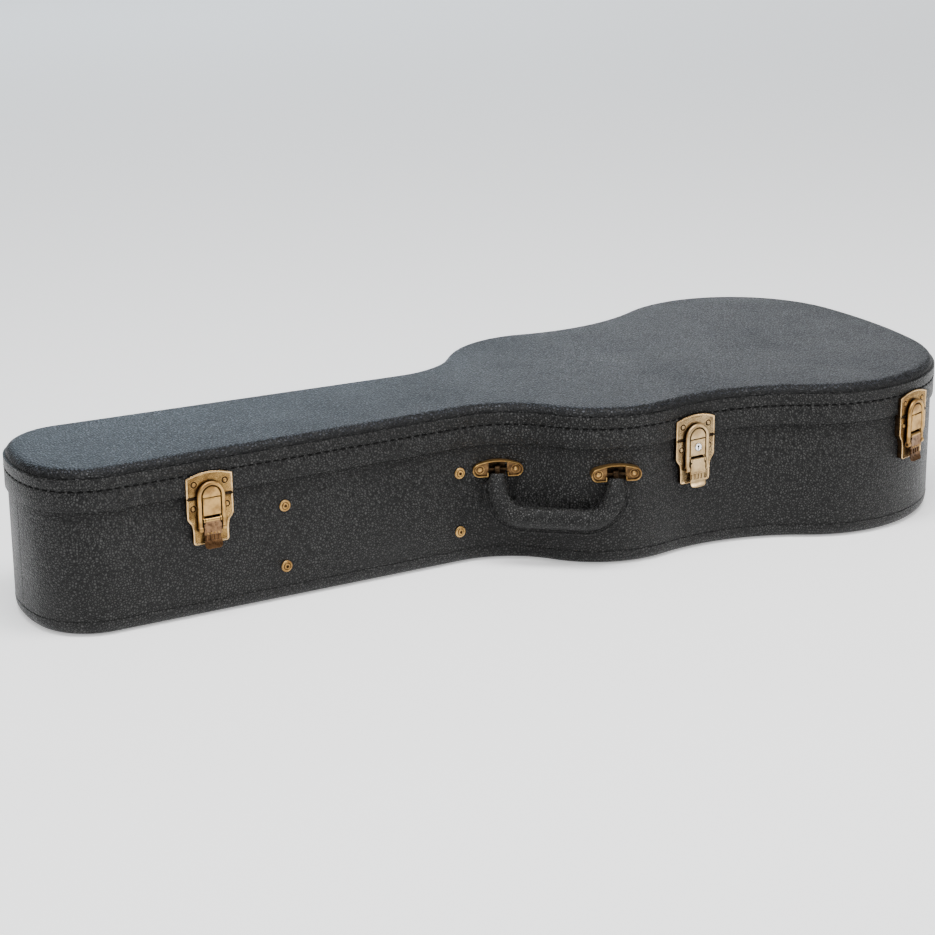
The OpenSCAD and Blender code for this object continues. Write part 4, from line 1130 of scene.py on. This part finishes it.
def build_lever(i, metal, dark, tab):
    shape = Shape()
    along_u(shape, roller(2.45, -LEVER_HALF, LEVER_HALF), LEVER_PIVOT, PIVOT_OUT)
    along_u(shape, roller(2.2, -LEVER_HALF + 0.2, LEVER_HALF - 0.2), BAIL_PIVOT, PIVOT_OUT, skin=1)
    lever_plate(shape)
    shape.prism(rounded_box(-8.8, RIBS_BOTTOM, 8.8, RIBS_TOP, 0.3, 1), 5.3, 6.2, skin=2)
    for u in RIBS:
        rib = rounded_box(u - 0.9, RIBS_BOTTOM + 0.1, u + 0.9, RIBS_TOP - 1, 0.5, 2)
        shape.tube(stepped(rib, [(0, 6.1), (0, 6.9), (0.35, 7.25)]), skin=2)
    thumb_tab(shape)
    latch_piece(f"lever_{i}_pressed", i, shape, [metal, dark, tab], f"lever_{i}", [f"latch_{i}_lever"])


def keyhole():
    """Outline of a keyhole: a round hole with a slot below it."""
    centre, radius, half, foot = LOCK_Z + 0.9, 1.35, 0.6, LOCK_Z - 3
    lean = math.degrees(math.asin(half / radius))
    arch = round_points((0, centre), radius, -90 + lean, 270 - lean, 20)
    return even([(-half, foot), (half, foot)] + arch, 0.35)


def build_lock():
    hole = keyhole()
    front = DOME_FRONT + 0.5
    rays = [(4.12, 2.7), (4.12, front - 0.3), (3.9, front), (3.5, front), (3.35, front - 0.2)]
    loops = [flat(circle_like(hole, (0, LOCK_Z), r), h) for r, h in rays]
    shape = Shape().tube(loops + [flat(hole, front - 0.2)], ends=False)
    # the keyhole's walls and floor in painted shade
    shape.tube([flat(hole, front - 0.2), flat(hole, front - 2.5)], skin=1)
    piece("lock_face", shape, [CHROME, HOLE], "lock", ["lock_rotor"], latch_frame(LOCKED))


def build_latches():
    for i in (1, 2, 3):
        metal, dark, tab = (PALE_BRASS,) * 3 if i == LOCKED else (BRASS, BRONZE, TAB_BRONZE)
        build_strike(i, metal)
        build_base(i, metal)
        build_bail(i, metal)
        build_lever(i, metal, dark, tab)
    build_lock()


# --- handle brackets ---
BRACKET_OUT = 5.0
BRACKET_DEEP = -4.0
BRACKET_RIVET = 19.5
LOBE_START = 10.2
LOBE_FLOOR = 5.4
BRACKET_X = (512, 614)
ARCH_RADIUS, ARCH_LOW, END_OUT, END_LOW, END_RADIUS = 66.4, -55.9, 20.0, -0.5, 7.5
ARCH_START = math.degrees(math.atan2(END_LOW - ARCH_LOW, END_OUT))
RIM_SECTION = [(0, BRACKET_DEEP), (0, 7), (0.25, 7.75), (0.75, 8.05), (1.25, 7.75), (1.5, 7),
               (1.5, BRACKET_DEEP)]
HANDLE_Z = JOINTS["handle_swing"]["pos_m"][2] / MM


def bracket_line():
    """The rim's outer line from one post round both ends to the other, counter-clockwise."""
    floor = END_LOW - END_RADIUS
    line = [(LOBE_START, -3), (LOBE_START, floor + 0.8), (LOBE_START + 0.8, floor), (END_OUT - 4, floor)]
    line += round_points((END_OUT, END_LOW), END_RADIUS, -90, ARCH_START, 14)
    line += round_points((0, ARCH_LOW), ARCH_RADIUS, ARCH_START, 180 - ARCH_START, 16)[1:]
    line += round_points((-END_OUT, END_LOW), END_RADIUS, 180 - ARCH_START, 270, 14)[1:]
    return line + [(4 - END_OUT, floor), (-LOBE_START - 0.8, floor), (-LOBE_START, floor + 0.8),
                   (-LOBE_START, -3)]


def swept_rim(shape, line, section):
    loops = []
    for i, here in enumerate(line):
        before, after = Vector(line[max(0, i - 1)]), Vector(line[min(len(line) - 1, i + 1)])
        run = (after - before).normalized()
        side = Vector((-run.y, run.x))
        loops.append([(here[0] + d * side.x, here[1] + d * side.y, o) for d, o in section])
    shape.tube(loops)


def lobe(side):
    """The dished floor under one rivet, between a post and the bracket's end."""
    arch_at = ARCH_LOW + math.sqrt(ARCH_RADIUS**2 - LOBE_START**2) - 0.9
    line = [(LOBE_START, arch_at), (LOBE_START, END_LOW - END_RADIUS + 0.5)]
    line += round_points((END_OUT, END_LOW), END_RADIUS - 0.7, -90, ARCH_START, 12)
    return line if side > 0 else [(-x, y) for x, y in reversed(line)]


def build_bracket(name, node, point, turn, extra=()):
    shape = Shape()
    swept_rim(shape, bracket_line(), RIM_SECTION)
    for side in (-1, 1):
        # the dished floors take painted shade
        shape.prism(lobe(side), BRACKET_DEEP, LOBE_FLOOR, skin=1)
        rivet(shape, side * BRACKET_RIVET, 0, LOBE_FLOOR, 2.9, 2.1)
    # the back of the window and the pin across it in painted shade
    shape.prism([(-11, -7.6), (11, -7.6), (11, 8.6), (-11, 8.6)], BRACKET_DEEP, 0.4, skin=2)
    along_u(shape, roller(1.5, -LOBE_START - 0.1, LOBE_START + 0.1), 0, BRACKET_OUT, skin=2)
    piece(name, shape, [BRASS, DISH_SHADE, SHADE_BRASS], "case_body", [node, *extra],
          wall_place(point, turn, z=HANDLE_Z))


def on_arc(x, centre, radius, bulge):
    """Place at x on the near side of an arc, and the wall's turn; bulge is -1 where the outline is hollow."""
    aside = x - centre.x
    point = Vector((x, -(centre.y + bulge * math.sqrt(radius**2 - aside**2))))
    return point, bulge * math.asin(aside / radius)


def build_brackets():
    build_bracket("bracket_head", "handle_bracket_head",
                  *on_arc(BRACKET_X[0], SHOULDER, SHOULDER_RADIUS + BODY_INSET, -1),
                  ["bracket_rivets", "bracket_pins"])
    build_bracket("bracket_tail", "handle_bracket_tail",
                  *on_arc(BRACKET_X[1], UPPER_BOUT, UPPER_RADIUS - BODY_INSET, 1))


# --- handle: in its own plane X runs along the pivots and Y down the handle ---
GRIP_WIDE, GRIP_THICK, GRIP_V, BEND = 12.0, 9.0, 51.0, 32.0
HANDLE_LEAN = math.radians(15)
HANDLE_HALF = 64.02
FLANGE_REACH = 4.4
FLANGE_HALF = 0.9
GRIP_PITCH = 3.4
GRIP_STITCH = (2.3, 0.3)
GRIP_SEAM = 1.9
# (distance from the pivots, half width, half thickness, sewn edge's reach, roundness) near a pivot
NECK = [(4.6, 5.6, 1.6, 0, 0.75), (4.9, 7.0, 2.8, 0, 0.75), (5.8, 7.8, 3.5, 0, 0.75), (8.0, 8.1, 4.0, 0, 0.8),
        (10.5, 8.9, 5.2, 0.1, 0.85), (13.0, 10.0, 6.6, 1.6, 0.95), (16.0, 11.2, 8.1, 3.4, 1)]


def grip_section(wide, thick, reach, power, count=30):
    """Points of an oval with a flat sewn edge on its outer side, as (outwards, across)."""
    start = math.asin(min(0.9, FLANGE_HALF / thick))
    turns = spread(start, 2 * math.pi - start, count)
    oval = [(wide * math.copysign(abs(math.cos(t))**power, math.cos(t)),
             thick * math.copysign(abs(math.sin(t))**power, math.sin(t))) for t in turns]
    root, edge = oval[0][0] + 0.3 * min(1, reach), oval[0][0] + reach
    flange = [(root, -FLANGE_HALF), (edge - 0.4, -FLANGE_HALF), (edge, -FLANGE_HALF / 2),
              (edge, FLANGE_HALF / 2), (edge - 0.4, FLANGE_HALF), (root, FLANGE_HALF)]
    return oval + flange


def grip_path():
    """Stations along the grip: a place, the outward direction, and the section there."""
    full = (GRIP_WIDE, GRIP_THICK, FLANGE_REACH, 1)
    leg = [(Vector((-HANDLE_HALF, y)), Vector((-1, 0)), section) for y, *section in NECK]
    corner = Vector((BEND - HANDLE_HALF, GRIP_V - BEND))
    rays = [ray(turn) for turn in spread(math.pi, math.pi / 2, 14)]
    bend = [(corner + BEND * out, out, full) for out in rays]
    half = HANDLE_HALF - BEND
    straight = [(Vector((half * (k / 7 - 1), GRIP_V)), Vector((0, 1)), full) for k in range(1, 7)]
    left = leg + bend + straight
    middle = [(Vector((0, GRIP_V)), Vector((0, 1)), full)]
    right = [(Vector((-p.x, p.y)), Vector((-n.x, n.y)), section) for p, n, section in reversed(left)]
    return left + middle + right


def build_handle():
    joint = JOINTS["handle_swing"]
    turn = math.atan2(-joint["axis"][1], -joint["axis"][0])
    place = (Matrix.Translation(Vector(joint["pos_m"])) @ Matrix.Rotation(turn, 4, "Z")
             @ Matrix.Rotation(-math.pi / 2 - HANDLE_LEAN, 4, "X"))
    loops = []
    for point, out, section in grip_path():
        loops.append([(point.x + a * out.x, point.y + a * out.y, b) for a, b in grip_section(*section)])
    grip = piece("grip_wrap", Shape().tube(loops), [GRIP_SKIN], "handle", ["handle_grip", "handle_seam"],
                 place)
    piece("grip_stitches", grip_stitches(), [THREAD], "handle", place=place)


def grip_stitches():
    shape = Shape()
    reach = GRIP_WIDE + FLANGE_REACH - GRIP_SEAM
    line = [p + reach * n for p, n, section in grip_path() if section[2] > 3]
    travelled = 0.0
    for a, b in zip(line, line[1:]):
        length = (b - a).length
        along = (b - a).normalized().to_3d()
        while travelled < length:
            spot = a.lerp(b, travelled / length)
            for face in (-1, 1):
                add_stitch(shape, Vector((spot.x, spot.y, face * (FLANGE_HALF + 0.02))), along,
                           face * UP, Vector((-along.y, along.x, 0)), *GRIP_STITCH)
            travelled += GRIP_PITCH
        travelled -= length
    return shape


# --- hinges: o is measured from the pin line ---
LEAF_BACK, LEAF_FRONT, LEAF_START, LEAF_TALL = -4.2, -2.7, 2.2, 26.0
LEAF_HALF = 22.0
LEAF_RIVET = (13.0, 16.0)
KNUCKLE = 3.0
LEAF_DOME = (2.3, 1.5)
PACKER_BACK = {"upper": -16.4, "lower": -10.4}
PACKER_MARGIN = 0.4
KNUCKLE_GAP = 0.15


def hinge_places():
    joint = JOINTS["lid_hinge"]
    along = -Vector(joint["axis"])
    out = Vector((-along.y, along.x, 0))
    lower = Vector(joint["pos_m"]) / MM
    bout = Vector((frame_x(UPPER_BOUT.x), UPPER_BOUT.y, lower.z))
    upper = lower + (bout - lower).dot(along) * along
    return {name: axes_at(p * MM, -along, UP, out) for name, p in (("lower", lower), ("upper", upper))}


def leaf(side):
    """One leaf with its knuckles: side 1 on the lid, side -1 on the body."""
    shape = Shape()
    start, end = sided(side, LEAF_START, LEAF_TALL)
    plate = rounded_box(-LEAF_HALF, start, LEAF_HALF, end, 3)
    shape.tube(stepped(plate, [(0, LEAF_BACK), (0, LEAF_FRONT - 0.3), (0.3, LEAF_FRONT)]))
    inner = LEAF_HALF / 3
    spans = [(KNUCKLE_GAP - inner, inner - KNUCKLE_GAP)]
    if side < 0:
        spans = [(-LEAF_HALF, -inner - KNUCKLE_GAP), (inner + KNUCKLE_GAP, LEAF_HALF)]
    root = side * (LEAF_START + 3.4)
    web = [(root, LEAF_BACK), (root, LEAF_FRONT), (side * 1.2, LEAF_FRONT + 0.2), (side * 0.4, LEAF_FRONT),
           (side * 0.4, LEAF_BACK)]
    for first, last in spans:
        along_u(shape, roller(KNUCKLE, first, last, 0.25), 0, 0)
        bar(shape, web, first, last)
    for u in (-LEAF_RIVET[0], LEAF_RIVET[0]):
        rivet(shape, u, side * LEAF_RIVET[1], LEAF_FRONT, *LEAF_DOME)
    return shape


def packer(name, side):
    """Block that fills the space between a leaf and the wall."""
    start, end = sided(side, LEAF_START, LEAF_TALL)
    half = LEAF_HALF + PACKER_MARGIN
    block = rounded_box(-half, start, half, end + PACKER_MARGIN * (side > 0), 2.5)
    return Shape().tube(stepped(block, [(0, PACKER_BACK[name]), (0, LEAF_BACK - 0.4),
                                        (0.4, LEAF_BACK - 0.02)]))


def build_hinges():
    for name, place in hinge_places().items():
        for side, body, part in ((1, "lid", "lid"), (-1, "case_body", "body")):
            upper = name == "upper"
            leaves = [f"hinge_{name}_{part}_leaf"] + ([f"{part}_hinge_rivets"] if upper else [])
            packers = [f"{part}_hinge_packers"] if upper else []
            piece(f"hinge_{name}_{part}", leaf(side), [BRASS, PATINA_AND_SHADE], body, leaves, place)
            piece(f"packer_{name}_{part}", packer(name, side), [PLAIN_VINYL], body, packers, place)


def dress_pins():
    """Metal on the small CAD parts that show only between the pressed pieces."""
    for name, metal in PIN_METALS.items():
        mesh = frame["nodes"][name].data
        mesh.materials.clear()
        mesh.materials.append(metal)


build_latches()
build_brackets()
build_handle()
build_hinges()
dress_pins()


# --- studio ---
def add_light(name, place, target, size, power, colour=(1, 1, 1)):
    data = bpy.data.lights.new(name, "AREA")
    data.shape = "RECTANGLE"
    data.size, data.size_y = size
    data.energy = power
    data.color = colour
    lamp = collection_link(bpy.data.objects.new(name, data))
    lamp.location = place
    lamp.rotation_euler = (Vector(place) - Vector(target)).to_track_quat("Z", "Y").to_euler()


FLOOR_REACH = 12
FLOOR_DROP = 0.0005
FLOOR_GLOW = 0.4
WORLD_STRENGTH = 0.40


def build_floor():
    mesh = bpy.data.meshes.new("floor")
    corners = [(-1, -1), (1, -1), (1, 1), (-1, 1)]
    mesh.from_pydata([(FLOOR_REACH * x, FLOOR_REACH * y, 0) for x, y in corners], [], [(0, 1, 2, 3)])
    mesh.materials.append(new_material("floor_white", grey(0.93), 0.9, Emission_Strength=FLOOR_GLOW,
                                       Emission_Color=(1, 1, 1, 1)))
    floor = collection_link(bpy.data.objects.new("floor", mesh))
    floor.location.z = -FLOOR_DROP


def build_studio():
    build_floor()
    world = bpy.data.worlds.new("studio")
    world.use_nodes = True
    sky = world.node_tree.nodes["Background"]
    sky.inputs["Color"].default_value = (0.95, 0.97, 1.0, 1)
    sky.inputs["Strength"].default_value = WORLD_STRENGTH
    bpy.context.scene.world = world
    add_light("overhead", (-0.2, -0.7, 2.7), (0, -0.1, 0.1), (2.6, 1.1), 130)
    add_light("key", (-2.2, -2.0, 2.2), (0, 0, 0.1), (1.0, 0.8), 38)
    add_light("back_left", (1.0, 5.2, 2.0), (0, 0, 0.1), (3.0, 1.5), 62, (0.66, 0.84, 1.0))
    add_light("back_right", (4.2, 5.0, 2.0), (0.2, 0, 0.1), (3.0, 1.5), 43, (0.93, 0.96, 1.0))
    add_light("fill", (2.6, -2.2, 1.3), (0.3, 0, 0.1), (0.9, 0.9), 34, (1.0, 0.97, 0.92))


build_studio()
